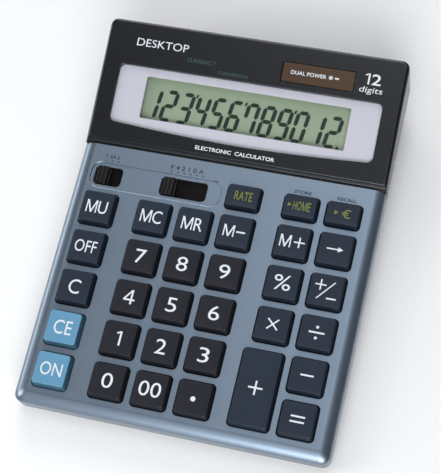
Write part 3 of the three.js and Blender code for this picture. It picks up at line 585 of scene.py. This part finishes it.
def cut_out(piece, *shapes):
    """Cuts shapes out of a piece one after another and keeps the result as its mesh."""
    for shape in shapes:
        cutter = make_piece("cutter", shape, piece.matrix_world, piece.data.materials[0])
        cut = piece.modifiers.new("cut", "BOOLEAN")
        cut.operation = "DIFFERENCE"
        cut.solver = "EXACT"
        cut.object = cutter
        bpy.context.view_layer.update()
        result = bpy.data.meshes.new_from_object(piece.evaluated_get(bpy.context.evaluated_depsgraph_get()))
        piece.modifiers.clear()
        piece.data = result
        bpy.data.objects.remove(cutter)
    mark_edges(piece.data)


def even_shading(piece):
    """Lets the large flat faces keep their own normals beside rounded edges."""
    even = piece.modifiers.new("even shading", "WEIGHTED_NORMAL")
    even.keep_sharp = True
    even.weight = 100


deck_low, deck_high = box_mm("top_case", deck_frame)
half_width = deck_high.x
deck_front = deck_low.y
seam = -seam_half_gap / MM
rim_low = -10
shoulder_width = 5.3
shoulder_drop = 3
front_radius = 4
wall = 2
shoulder_steps = 12
shoulder_flatness = 1.25  # 1 is an elliptical shoulder, 2 is a flat bevel


def deck_ring(inset, height, back=seam):
    """The deck's outline: square at the seam and rounded at the front corners."""
    radius = front_radius - 0.5 * inset
    points = [(-half_width + inset, back, height)]
    for side, start in ((-1, math.pi), (1, 1.5 * math.pi)):
        for step in range(13):
            angle = start + step / 12 * math.pi / 2
            x = side * (half_width - inset - radius) + radius * math.cos(angle)
            y = deck_front + inset + radius + radius * math.sin(angle)
            points.append((x, y, height))
    points.append((half_width - inset, back, height))
    return points


def deck_solid(inset, top, width, drop, back):
    rings = [deck_ring(inset, rim_low - (1 if inset else 0), back)]
    for step in range(shoulder_steps + 1):
        angle = step / shoulder_steps * math.pi / 2
        inwards = 1 - max(math.cos(angle), 0) ** shoulder_flatness
        down = 1 - math.sin(angle) ** shoulder_flatness
        rings.append(deck_ring(inset + width * inwards, top - drop * down, back))
    return loft(rings)


hole_clearance = 0.3
hole_roll = 0.2  # rolled edge of a hole


def hole_rings(half_x, half_y, radius, centre):
    """A hole whose upper edge is rolled outwards."""
    levels = [(-wall - 1, 0)]
    levels += [(-down, outwards) for outwards, down in quarter_round(hole_roll, 5)]
    levels.append((1, hole_roll))
    rings = []
    for height, spread in levels:
        outline = rounded_outline(half_x + spread, half_y + spread, radius + spread, 6, 1)
        rings.append([(x + centre.x, y + centre.y, height) for x, y in outline])
    return rings


def join_lofts(groups):
    """One shape from several lofts that don't touch."""
    joined = bmesh.new()
    for rings in groups:
        add_shape(joined, loft(rings))
    return joined


holes = []
for name in sorted(node for node in frame["nodes"] if node.startswith("key_")):
    low, high = box_mm(name, deck_frame)
    spread = key_flange - hole_clearance
    half_x = (high.x - low.x) / 2 - spread
    half_y = (high.y - low.y) / 2 - spread
    holes.append(hole_rings(half_x, half_y, key_base_radius + hole_clearance, (low + high) / 2))

recess_left = -62.8
recess_right = -2.2
recess_half_length = 6
recess_radius = 4.5
recess_depth = 0.8
recess_roll = 0.65
switch_row = box_mm("decimal_switch_knob", deck_frame)
switch_row = (switch_row[0].y + switch_row[1].y) / 2
recess_rings = []
recess_profile = [(-recess_depth, -0.2), (-recess_depth * 0.9, 0)]
recess_profile += [(-down, outwards) for outwards, down in quarter_round(recess_roll, 5)]
recess_profile.append((1, recess_roll))
for height, spread in recess_profile:
    outline = rounded_outline(
        (recess_right - recess_left) / 2 + spread, recess_half_length + spread, recess_radius + spread, 12)
    recess_rings.append([(x + (recess_left + recess_right) / 2, y + switch_row, height) for x, y in outline])

slot_half_length = 4.5
slot_radius = 2
knob_end_gap = 1
for name in ("rounding_switch", "decimal_switch"):
    low, high = box_mm(name + "_knob", deck_frame)
    travel = next(j["range_m"][1] for j in frame["joints"] if j["name"] == name + "_slide") / MM
    carriage = 1.1
    left = low.x + carriage - knob_end_gap
    right = high.x - carriage + knob_end_gap + travel
    rings = []
    for height, spread in ((-wall - 1, 0), (-recess_depth - 0.3, 0), (-recess_depth, 0.3), (1, 0.3)):
        outline = rounded_outline(
            (right - left) / 2 + spread, slot_half_length + spread, slot_radius + spread)
        rings.append([(x + (left + right) / 2, y + switch_row, height) for x, y in outline])
    holes.append(rings)

deck_shell = make_piece(
    "top_case_shell", deck_solid(0, 0, shoulder_width, shoulder_drop, seam), deck_frame, silver_lacquer)
cut_out(
    deck_shell,
    deck_solid(wall, -wall, shoulder_width - 1, shoulder_drop - 0.5, seam + 1),
    loft(recess_rings),
    join_lofts(holes),
)
even_shading(deck_shell)
finish_piece(deck_shell, "root", "silver_paint", "top_case")

# ---------------------------------------------------------------- slide switch knobs
# Ribbed finger pieces of dark brown moulded ABS, each on a carriage that is wider than its slot.
def clothe(node_name, material, edge=0.0):
    """Gives a CAD node its material, and rounds its edges by a width in millimetres."""
    node = frame["nodes"][node_name]
    node.data.materials.clear()
    node.data.materials.append(material)
    if edge:
        soften = node.modifiers.new("rounded edges", "BEVEL")
        soften.width = edge * MM
        soften.segments = 2
        soften.limit_method = "ANGLE"
        soften.angle_limit = math.radians(40)
        even_shading(node)


knob_abs = moulded_abs("dark brown moulded ABS", "#0b0808", "#080606", 0.5, worn="#241c1d", wear=0.3)
for name in ("rounding_switch_knob", "decimal_switch_knob"):
    clothe(name, knob_abs, 0.2)

# ---------------------------------------------------------------- display cover
# The wedge over the back of the body: glossy black ABS, rounded at the sides and the back, with a
# stepped front edge beside the deck. The window and the solar panel sit in it.
gloss_abs = moulded_abs(
    "black gloss moulded ABS", "#111318", "#0e1014", 0.25, grain=0.8, relief_depth=0.004, shine=0.45)

cover_back = box_mm("display_cover", deck_frame)[1].y
back_radius = 3.5
cover_round = 1.8


def cover_ring(inset, depth, front=-seam, level=None):
    """The cover's outline, square at the seam, at a depth below the head's surface or at a level."""
    radius = max(back_radius - inset, 0.6)
    points = [(half_width - inset, front)]
    for side, start in ((1, 0), (-1, math.pi / 2)):
        for step in range(11):
            angle = start + step / 10 * math.pi / 2
            x = side * (half_width - inset - radius) + radius * math.cos(angle)
            y = cover_back - inset - radius + radius * math.sin(angle)
            points.append((x, y))
    points.append((-half_width + inset, front))
    return [(x, y, cover_lip + y * head_rise - depth if level is None else level) for x, y in points]


def cover_solid():
    rings = [cover_ring(0, 0, level=rim_low)]
    rings += [cover_ring(inset, depth) for inset, depth in quarter_round(cover_round, 8)]
    return loft(rings)


cover_cavity = loft([
    cover_ring(wall, 0, front=wall, level=rim_low - 1),
    cover_ring(wall, wall, front=wall),
])

# The step along the front edge, as the outline of what is cut away: a groove beside the deck, a low
# ledge, and a riser with a rounded top.
groove_floor = -0.9
groove_back = 0.8
ledge_height = 0.45
riser = 2.3
edge_round = 0.8
step_outline = [(-2, groove_floor), (groove_back, groove_floor)]
for start_y, base in ((groove_back, ledge_height), (riser, cover_lip + (riser + edge_round) * head_rise)):
    step_outline += [(start_y + inwards, base - down) for inwards, down in quarter_round(edge_round, 5)]
step_outline += [(riser + edge_round, 4), (-2, 4)]
cover_step = loft([[(x, y, z) for y, z in step_outline] for x in (-half_width - 2, half_width + 2)])

window_low, window_high = box_mm("display_window", head_frame)
window_half = window_high.x + 0.4
window_top = window_high.y + 0.8
window_bow = 2.3
window_start = window_low.y + window_bow
window_radius = 2.6


def window_outline(spread):
    """The window: straight sides and top, and a lower edge that bows down in the middle."""
    x = window_half + spread
    low = window_start - spread
    high = window_top + spread
    radius = window_radius + spread
    points = []
    for step in range(25):
        share = step / 24
        u = -x + radius + share * 2 * (x - radius)
        points.append((u, low - 4 * window_bow * share * (1 - share)))
    for side_x, side_y, start in ((1, -1, -0.5), (1, 1, 0), (-1, 1, 0.5), (-1, -1, 1)):
        centre_y = low + radius if side_y < 0 else high - radius
        for step in range(1 if (side_x, side_y) == (1, -1) else 0, 9 if (side_x, side_y) != (-1, -1) else 8):
            angle = (start + step / 16) * math.pi
            centre_x = side_x * (x - radius)
            points.append((centre_x + radius * math.cos(angle), centre_y + radius * math.sin(angle)))
    return points


def in_deck(rings):
    """Rings given in the head's frame, moved to the deck's."""
    move = Matrix.Translation((0, 0, cover_lip)) @ Matrix.Rotation(head_tilt, 4, "X")
    return [[move @ Vector(point) for point in ring] for ring in rings]


window_cut = [[(x, y, height) for x, y in window_outline(spread)]
              for height, spread in ((-8, 0.15), (-0.25, 0.15), (-0.1, 0.22), (0, 0.4), (1, 0.4))]
solar_low, solar_high = box_mm("solar_panel", head_frame)
solar_middle = (solar_low + solar_high) / 2
solar_half = (solar_high - solar_low) / 2
solar_cut = []
for height, spread in ((-8, 0.3), (-0.2, 0.3), (0, 0.5), (1, 0.5)):
    outline = rounded_outline(solar_half.x + spread, solar_half.y + spread, 0.4)
    solar_cut.append([(x + solar_middle.x, y + solar_middle.y, height) for x, y in outline])

cover_shell = make_piece("display_cover_shell", cover_solid(), deck_frame, gloss_abs)
cut_out(cover_shell, cover_cavity, cover_step, loft(in_deck(window_cut)), loft(in_deck(solar_cut)))
even_shading(cover_shell)
finish_piece(cover_shell, "root", "black_gloss", "display_cover")

# ---------------------------------------------------------------- display
# A clear acrylic window over a pale printed surround, and below it the reflective liquid crystal
# panel, a grey-green sandwich of glass whose segments go dark.
def clear_acrylic():
    """Polished acrylic: nearly invisible, with faint smears in its reflections."""
    material = new_material("clear acrylic")
    place = add_node(material, "TexCoord")
    smears = add_node(material, "TexNoise", {
        "Vector": (place, "Object"), "Scale": per_mm(9), "Detail": 4.0})
    gloss = add_node(material, "MapRange", {"Value": (smears, "Fac"), "To Min": 0.02, "To Max": 0.07})
    shader = add_node(material, "BsdfPrincipled", {
        "Base Color": linear("#0a0c0e"), "Roughness": (gloss, "Result"), "IOR": 1.49, "Alpha": 0.1})
    add_node(material, "OutputMaterial", {"Surface": (shader, "BSDF")})
    return material


lens_round = 0.12
window_pane = make_piece("display_window_pane", loft([
    [(x, y, height) for x, y in window_outline(spread)]
    for height, spread in (
        (window_low.z, 0), (window_high.z - lens_round, 0),
        (window_high.z - lens_round * 0.3, -lens_round * 0.3), (window_high.z, -lens_round))
]), head_frame, clear_acrylic())
even_shading(window_pane)
finish_piece(window_pane, "root", "clear_lens", "display_window")


def speckled(name, first, second, size, detail=2.0, **surface):
    """Two tones of colour mixed by grains of a size in millimetres, with the surface's own settings."""
    material = new_material(name)
    place = add_node(material, "TexCoord")
    grains = add_node(material, "TexNoise", {
        "Vector": (place, "Object"), "Scale": per_mm(size), "Detail": detail})
    tone = add_node(material, "MixRGB", {
        "Fac": (grains, "Fac"), "Color1": linear(first), "Color2": linear(second)})
    shader = add_node(material, "BsdfPrincipled", {"Base Color": (tone, "Color"), **surface})
    add_node(material, "OutputMaterial", {"Surface": (shader, "BSDF")})
    return material


# Pearl ink on the back of clear polystyrene gives an even, pale and slightly satin face.
printed_surround = speckled(
    "pearl printed polystyrene", "#d2d1dd", "#dedee7", 0.5, Roughness=0.45, Metallic=0.1)
bezel_low, bezel_high = box_mm("display_bezel", head_frame)
panel_low, panel_high = box_mm("lcd_panel", head_frame)
panel_margin = 3.4
opening_half_x = (panel_high.x - panel_low.x) / 2 - panel_margin
opening_half_y = (panel_high.y - panel_low.y) / 2 - panel_margin
panel_middle = (panel_high.y + panel_low.y) / 2
surround = make_piece("display_surround", loft([
    [(x, y, height) for x, y in window_outline(0)] for height in (bezel_low.z, bezel_high.z)
]), head_frame, printed_surround)
opening_rings = []
chamfer = 0.25
for height, spread in (
        (bezel_low.z - 1, 0), (bezel_high.z - chamfer, 0), (bezel_high.z, chamfer),
        (bezel_high.z + 1, chamfer)):
    outline = rounded_outline(opening_half_x + spread, opening_half_y + spread, 0.8)
    opening_rings.append([(x, y + panel_middle, height) for x, y in outline])
cut_out(surround, loft(opening_rings))
even_shading(surround)
finish_piece(surround, "root", "pale_bezel", "display_bezel")


# The foil behind the crystal shows through the glass as a fine matt grain.
panel_glass = speckled(
    "grey-green liquid crystal glass", "#97a98e", "#a3b59a", 0.4, Roughness=0.35, IOR=1.52)
panel_half_x = (panel_high.x - panel_low.x) / 2
panel_half_y = (panel_high.y - panel_low.y) / 2
glass = make_piece("lcd_glass", loft([
    [(x, y + panel_middle, height)
     for x, y in rounded_outline(panel_half_x - inset, panel_half_y - inset, 0.5)]
    for height, inset in ((panel_low.z, 0), (panel_high.z - 0.2, 0), (panel_high.z, 0.2))
]), head_frame, panel_glass)
finish_piece(glass, "root", "lcd_glass", "lcd_panel")

# Seven-segment digits: half width and half height of a digit's centre lines, and what each digit lights.
digit_half_x = 2.3
digit_half_y = 6.6
segment_half = 0.92
segment_gap = 0.12
digit_lean = math.tan(math.radians(8))
segment_ends = {
    "a": ((-1, 1), (1, 1)), "b": ((1, 0), (1, 1)), "c": ((1, -1), (1, 0)), "d": ((-1, -1), (1, -1)),
    "e": ((-1, -1), (-1, 0)), "f": ((-1, 0), (-1, 1)), "g": ((-1, 0), (1, 0)),
}
lit_segments = {
    "0": "abcdef", "1": "bc", "2": "abdeg", "3": "abcdg", "4": "bcfg", "5": "acdfg",
    "6": "acdefg", "7": "abcf", "8": "abcdefg", "9": "abcdfg",
}


def segment_outline(centre, ends):
    """A segment with pointed ends, between two corners of its digit."""
    start, end = [Vector((u * digit_half_x, v * digit_half_y)) for u, v in ends]
    along = (end - start).normalized()
    across = Vector((-along.y, along.x)) * segment_half
    start += along * segment_gap
    end -= along * segment_gap
    tip = along * segment_half
    corners = [start, start + tip - across, end - tip - across, end, end - tip + across, start + tip + across]
    return [(centre.x + point.x + digit_lean * point.y, centre.y + point.y) for point in corners]


shown_number = "1 2 3' 4 5 6' 7 8 9' 0 1 2."
digit_pitch = 7.63
digit_middle = 22.8
last_digit = 40.9
film = []
places = shown_number.split()
for index, shown in enumerate(places):
    centre = Vector((last_digit - (len(places) - 1 - index) * digit_pitch, digit_middle))
    film += [segment_outline(centre, segment_ends[letter]) for letter in lit_segments[shown[0]]]
    if "'" in shown:
        film.append(bar(centre.x + 4.6, centre.y + digit_half_y - 0.1, 0.9, 1.7, -15))
    if "." in shown:
        film.append(bar(centre.x + 3.0, centre.y - digit_half_y, 1.2, 1.2, -8))


# The crystal goes dark where it is driven, and the foil's grain still shows a little.
crystal_segments = speckled(
    "dark liquid crystal segments", "#16241b", "#1f3025", 0.6, Roughness=0.4, IOR=1.52)
digits = add_film(bmesh.new(), film)
bmesh.ops.translate(digits, vec=(0, 0, panel_high.z + ink_film), verts=digits.verts)
digit_piece = make_piece("lcd_digits", digits, head_frame, crystal_segments)
finish_piece(digit_piece, "root", "lcd_glass")


# ---------------------------------------------------------------- solar panel
# Amorphous silicon on glass: brown, with the thin pale lines between its cells.
def silicon_cells():
    """Brown silicon under glass: faint spots, and fine ruled lines where one cell meets the next."""
    material = new_material("brown amorphous silicon on glass")
    place = add_node(material, "TexCoord")
    spots = add_node(material, "TexNoise", {
        "Vector": (place, "Object"), "Scale": per_mm(3), "Detail": 3.0})
    tone = add_node(material, "MixRGB", {
        "Fac": (spots, "Fac"), "Color1": linear("#352314"), "Color2": linear("#3e2a19")})
    stripes = add_node(material, "TexWave", {
        "Vector": (place, "Object"), "Scale": per_mm(0.8) * math.pi / 10},
        bands_direction="X", wave_profile="SAW")
    ruled = add_node(material, "MixRGB", {
        "Fac": (stripes, "Fac"), "Color1": (tone, "Color"), "Color2": linear("#463220")})
    shader = add_node(material, "BsdfPrincipled", {
        "Base Color": (ruled, "Color"), "Roughness": 0.2, "IOR": 1.52, "Coat Weight": 0.2})
    add_node(material, "OutputMaterial", {"Surface": (shader, "BSDF")})
    return material


cells = make_piece("solar_cells", loft([
    [(x + solar_middle.x, y + solar_middle.y, height)
     for x, y in rounded_outline(solar_half.x - inset, solar_half.y - inset, 0.3)]
    for height, inset in ((solar_low.z, 0), (solar_high.z - 0.15, 0), (solar_high.z, 0.15))
]), head_frame, silicon_cells())
finish_piece(cells, "root", "solar_cell", "solar_panel")


# ---------------------------------------------------------------- printing on the head and the deck
# White screen printing on the head, and small dark blue-grey marks by the switches and keys.
def print_film(name, film, place, ink, surface, slot):
    """Lays a film of ink on a surface at a height in the head's or the deck's frame."""
    bmesh.ops.translate(film, vec=(0, 0, surface + ink_film), verts=film.verts)
    finish_piece(make_piece(name, film, place, ink), "root", slot)


slate_ink = pad_print("slate screen printing ink", "#222b3a")
faint_ink = pad_print("faint green screen printing ink", "#23453d")
solar_top = solar_high.z
# Name, words, left and right, low and high, ink, height of the surface, weight and slant of the strokes.
head_words = (
    ("print_name", "DESKTOP", -55.1, -30.6, 47.6, 51.2, white_ink, 0, 0, 0),
    ("print_line_1", "CURRENCY", -30.4, -16.9, 43.6, 45.4, faint_ink, 0, 0.008, 0),
    ("print_line_2", "CONVERSION", -15.2, -1.1, 39.9, 41.5, faint_ink, 0, 0.008, 0),
    ("print_description", "ELECTRONIC  CALCULATOR", -18.5, 18.1, 4.5, 6.3, white_ink, 0, 0.02, 0),
    ("print_power", "DUAL POWER", 17.7, 33.8, 45.4, 47.2, white_ink, solar_top, 0.015, 0),
    ("print_1", "1", 51.0, 53.1, 45.9, 50.9, white_ink, 0, 0.008, 0),
    ("print_2", "2", 54.0, 58.2, 45.9, 50.9, white_ink, 0, 0.01, 0),
    ("print_digits", "digits", 49.2, 59.6, 41.4, 44.9, white_ink, 0, 0, 0.1),
)
deck_words = (
    ("print_rounding", "↑ 5/4 ↓", -58.3, -51.4, -6.4, -4.3, slate_ink, 0, 0.02, 0),
    ("print_decimals", "F 4 2 1 0 A", -27.4, -12.0, -6.4, -4.3, slate_ink, 0, 0.02, 0),
    ("print_store", "STORE", 29.9, 37.6, -7.7, -6.1, slate_ink, 0, 0.02, 0),
    ("print_recall", "RECALL", 49.3, 57.8, -7.7, -6.1, slate_ink, 0, 0.02, 0),
)


def print_words(words, place, slot):
    for name, text, left, right, low, high, ink, surface, weight, slant in words:
        lines = lettering(text, right - left, high - low, weight, slant)
        bmesh.ops.translate(lines, vec=((left + right) / 2, (low + high) / 2, 0), verts=lines.verts)
        print_film(name, lines, place, ink, surface, slot)


print_words(head_words, head_frame, "black_gloss")

# A small sun and a cell, after the words on the solar panel.
sun_x = 35.8
cell_x = 38.6
icon_y = 46.3
icon_size = 1.9
icons = cross(sun_x, icon_y, icon_size, 0.45) + cross(sun_x, icon_y, icon_size, 0.4, 45)
icons.append(bar(cell_x, icon_y, icon_size, 0.7))
print_film("print_icons", add_film(bmesh.new(), icons), head_frame, white_ink, solar_top, "solar_cell")
print_words(deck_words, deck_frame, "silver_paint")
# A dot at each place where a switch stops.
mark_y = -7.5
mark_radius = 0.4
mark_pitch = 2.94
marks = [dot(x, mark_y, mark_radius, 12) for x in (-57.4, -54.5, -51.6)]
marks += [dot(-26.6 + mark_pitch * i, mark_y, mark_radius, 12) for i in range(6)]
print_film("print_switch_marks", add_film(bmesh.new(), marks), deck_frame, slate_ink, 0, "silver_paint")

# ---------------------------------------------------------------- bottom case and battery door
# Dark grey ABS with a coarse spark-eroded texture. The tub holds the boards, the cell's bay, the screw
# wells and the feet's seats; the door slides out to the back and has grip ridges and an arrow.
textured_abs = moulded_abs("dark textured moulded ABS", "#242428", "#1e1e22", 0.6, 0.7, 0.05)
clothe("bottom_case", textured_abs, 0.15)
clothe("battery_door", textured_abs, 0.2)
door_low, door_high = box_mm("battery_door", Matrix.Identity(4))
ridge_count = 6
ridge_pitch = 1.5
ridge_half_x = 7
ridge_half_y = 0.4
ridge_margin = 5  # from the door's back edge to the first ridge
groups = []
for index in range(ridge_count):
    ridge_y = door_high.y - ridge_margin - ridge_pitch * index
    groups.append([
        [(x, y + ridge_y, height)
         for x, y in rounded_outline(ridge_half_x - inset, ridge_half_y - inset, 0.2)]
        for height, inset in ((-0.35, 0.15), (-0.2, 0), (0.1, 0))])
arrow = [(-2, door_low.y + 6), (0, door_low.y + 9), (2, door_low.y + 6)]
groups.append([[(x, y, height) for x, y in arrow] for height in (-0.25, 0.1)])
grip = join_lofts(groups)
grip_place = Matrix.Translation(Vector(((door_low.x + door_high.x) / 2, 0, door_low.z)) * MM)
finish_piece(make_piece("battery_door_grip", grip, grip_place, textured_abs), "battery_door", "dark_plastic")


# ---------------------------------------------------------------- feet and screws
# Four round rubber feet are glued in their seats. The screws are plated steel pan heads with a cross
# recess, driven up through the tub into the top case.
def turned_rings(profile, steps=32):
    """Rings around the Z axis through (radius, height) points."""
    return [[(radius * math.cos(2 * math.pi * i / steps), radius * math.sin(2 * math.pi * i / steps), height)
             for i in range(steps)] for radius, height in profile]


foot_rubber = moulded_abs("black foot rubber", "#1a1a1b", "#131314", 0.85, 0.5, 0.04)


def plated_steel():
    """Nickel plating on pressed steel: a bright metal, with a grain that varies its gloss."""
    material = new_material("nickel plated steel")
    place = add_node(material, "TexCoord")
    grain = add_node(material, "TexNoise", {
        "Vector": (place, "Object"), "Scale": per_mm(0.8), "Detail": 3.0})
    tone = add_node(material, "MixRGB", {
        "Fac": (grain, "Fac"), "Color1": linear("#a8a8a4"), "Color2": linear("#c4c4c0")})
    gloss = add_node(material, "MapRange", {"Value": (grain, "Fac"), "To Min": 0.2, "To Max": 0.38})
    shader = add_node(material, "BsdfPrincipled", {
        "Base Color": (tone, "Color"), "Metallic": 1.0, "Roughness": (gloss, "Result")})
    add_node(material, "OutputMaterial", {"Surface": (shader, "BSDF")})
    return material


steel = plated_steel()
foot_round = 0.5
head_height = 1.8
shank_radius = 1.4
thread_pitch = 0.8
thread_depth = 0.3
slot_long = 1.6
slot_short = 0.35
for corner in ("front_left", "front_right", "rear_left", "rear_right"):
    foot_low, foot_high = box_mm(corner + "_foot", Matrix.Identity(4))
    foot_radius = (foot_high.x - foot_low.x) / 2
    profile = [(foot_radius, foot_high.z)]
    profile += [(foot_radius - inwards, height) for inwards, height in quarter_round(foot_round, 5)]
    profile += [(foot_radius * 0.62, 0), (foot_radius * 0.56, 0.25), (foot_radius * 0.1, 0.25)]
    middle = (foot_low + foot_high) / 2
    place = Matrix.Translation(Vector((middle.x, middle.y, 0)) * MM)
    foot = make_piece(corner + "_rubber_foot", loft(turned_rings(profile)), place, foot_rubber)
    finish_piece(foot, "root", "foot_rubber", corner + "_foot")

    screw_low, screw_high = box_mm(corner + "_screw", Matrix.Identity(4))
    head_radius = (screw_high.x - screw_low.x) / 2
    middle = (screw_low + screw_high) / 2
    place = Matrix.Translation(Vector((middle.x, middle.y, screw_low.z)) * MM)
    profile = [(0.2, 0.02), (head_radius * 0.6, 0.1), (head_radius * 0.88, 0.4), (head_radius, 0.9),
               (head_radius, head_height), (shank_radius, head_height)]
    thread_turns = int((screw_high.z - screw_low.z - head_height - 1) / thread_pitch)
    for turn_index in range(thread_turns):
        base = head_height + 0.3 + thread_pitch * turn_index
        profile += [(shank_radius - thread_depth, base), (shank_radius, base + thread_pitch / 2)]
    profile += [(0.2, screw_high.z - screw_low.z)]
    screw = make_piece(corner + "_steel_screw", loft(turned_rings(profile)), place, steel)
    slots = []
    for half_x, half_y in ((slot_long, slot_short), (slot_short, slot_long)):
        slots.append(loft([
            [(x, y, height) for x, y in rounded_outline(half_x * share, half_y * share, 0.15)]
            for height, share in ((-0.5, 1), (1.1, 0.7))]))
    cut_out(screw, *slots)
    finish_piece(screw, "root", "screw_steel", corner + "_screw")

# ---------------------------------------------------------------- inside
# Below the keys lie a silicone dome sheet and the main board. A nylon frame holds the display glass,
# a zebra strip and the display board with its chip under a resin blob, and a ribbon joins the boards.
# A single cell in a printed sleeve sits between two sprung steel contacts.
clothe("keypad_membrane", moulded_abs("dark silicone rubber", "#181213", "#120e0f", 0.75))
clothe("lcd_frame", moulded_abs("white nylon", "#d8d8d2", "#cfcfc8", 0.5))
clothe("controller_chip", moulded_abs("black epoxy resin", "#101012", "#0b0b0d", 0.25, 1.2, 0.05), 0.4)
clothe("display_ribbon", moulded_abs("flat ribbon of tinned wires", "#b9b4a4", "#a9a494", 0.4))
clothe("battery_spring_contact", steel)
clothe("battery_plate_contact", steel)


def striped(name, first, second, width, direction, roughness):
    """Even stripes of two colours, one pair in a width in millimetres."""
    material = new_material(name)
    place = add_node(material, "TexCoord")
    stripes = add_node(material, "TexWave", {
        "Vector": (place, "Object"), "Scale": per_mm(width) * math.pi / 10, "Distortion": 0.0},
        bands_direction=direction)
    spots = add_node(material, "TexNoise", {
        "Vector": (place, "Object"), "Scale": per_mm(4), "Detail": 4.0})
    pattern = add_node(material, "Math", {0: (stripes, "Fac"), 1: (spots, "Fac")}, operation="MULTIPLY")
    tone = add_node(material, "MixRGB", {
        "Fac": (pattern, "Value"), "Color1": linear(first), "Color2": linear(second)})
    relief = add_node(material, "Bump", {
        "Height": (pattern, "Value"), "Strength": 0.3, "Distance": 0.03 * MM})
    shader = add_node(material, "BsdfPrincipled", {
        "Base Color": (tone, "Color"), "Roughness": roughness, "Normal": (relief, "Normal")})
    add_node(material, "OutputMaterial", {"Surface": (shader, "BSDF")})
    return material


solder_mask = striped("green solder mask on glass epoxy", "#1c4a30", "#3d7a4e", 2.2, "Y", 0.35)
clothe("main_board", solder_mask)
clothe("display_board", solder_mask)
clothe("zebra_strip", striped("zebra strip rubber", "#1a1a1b", "#c9a7a0", 0.5, "X", 0.7))
clothe("battery_cell", striped("printed cell sleeve", "#20242c", "#b88a3a", 25, "X", 0.3))
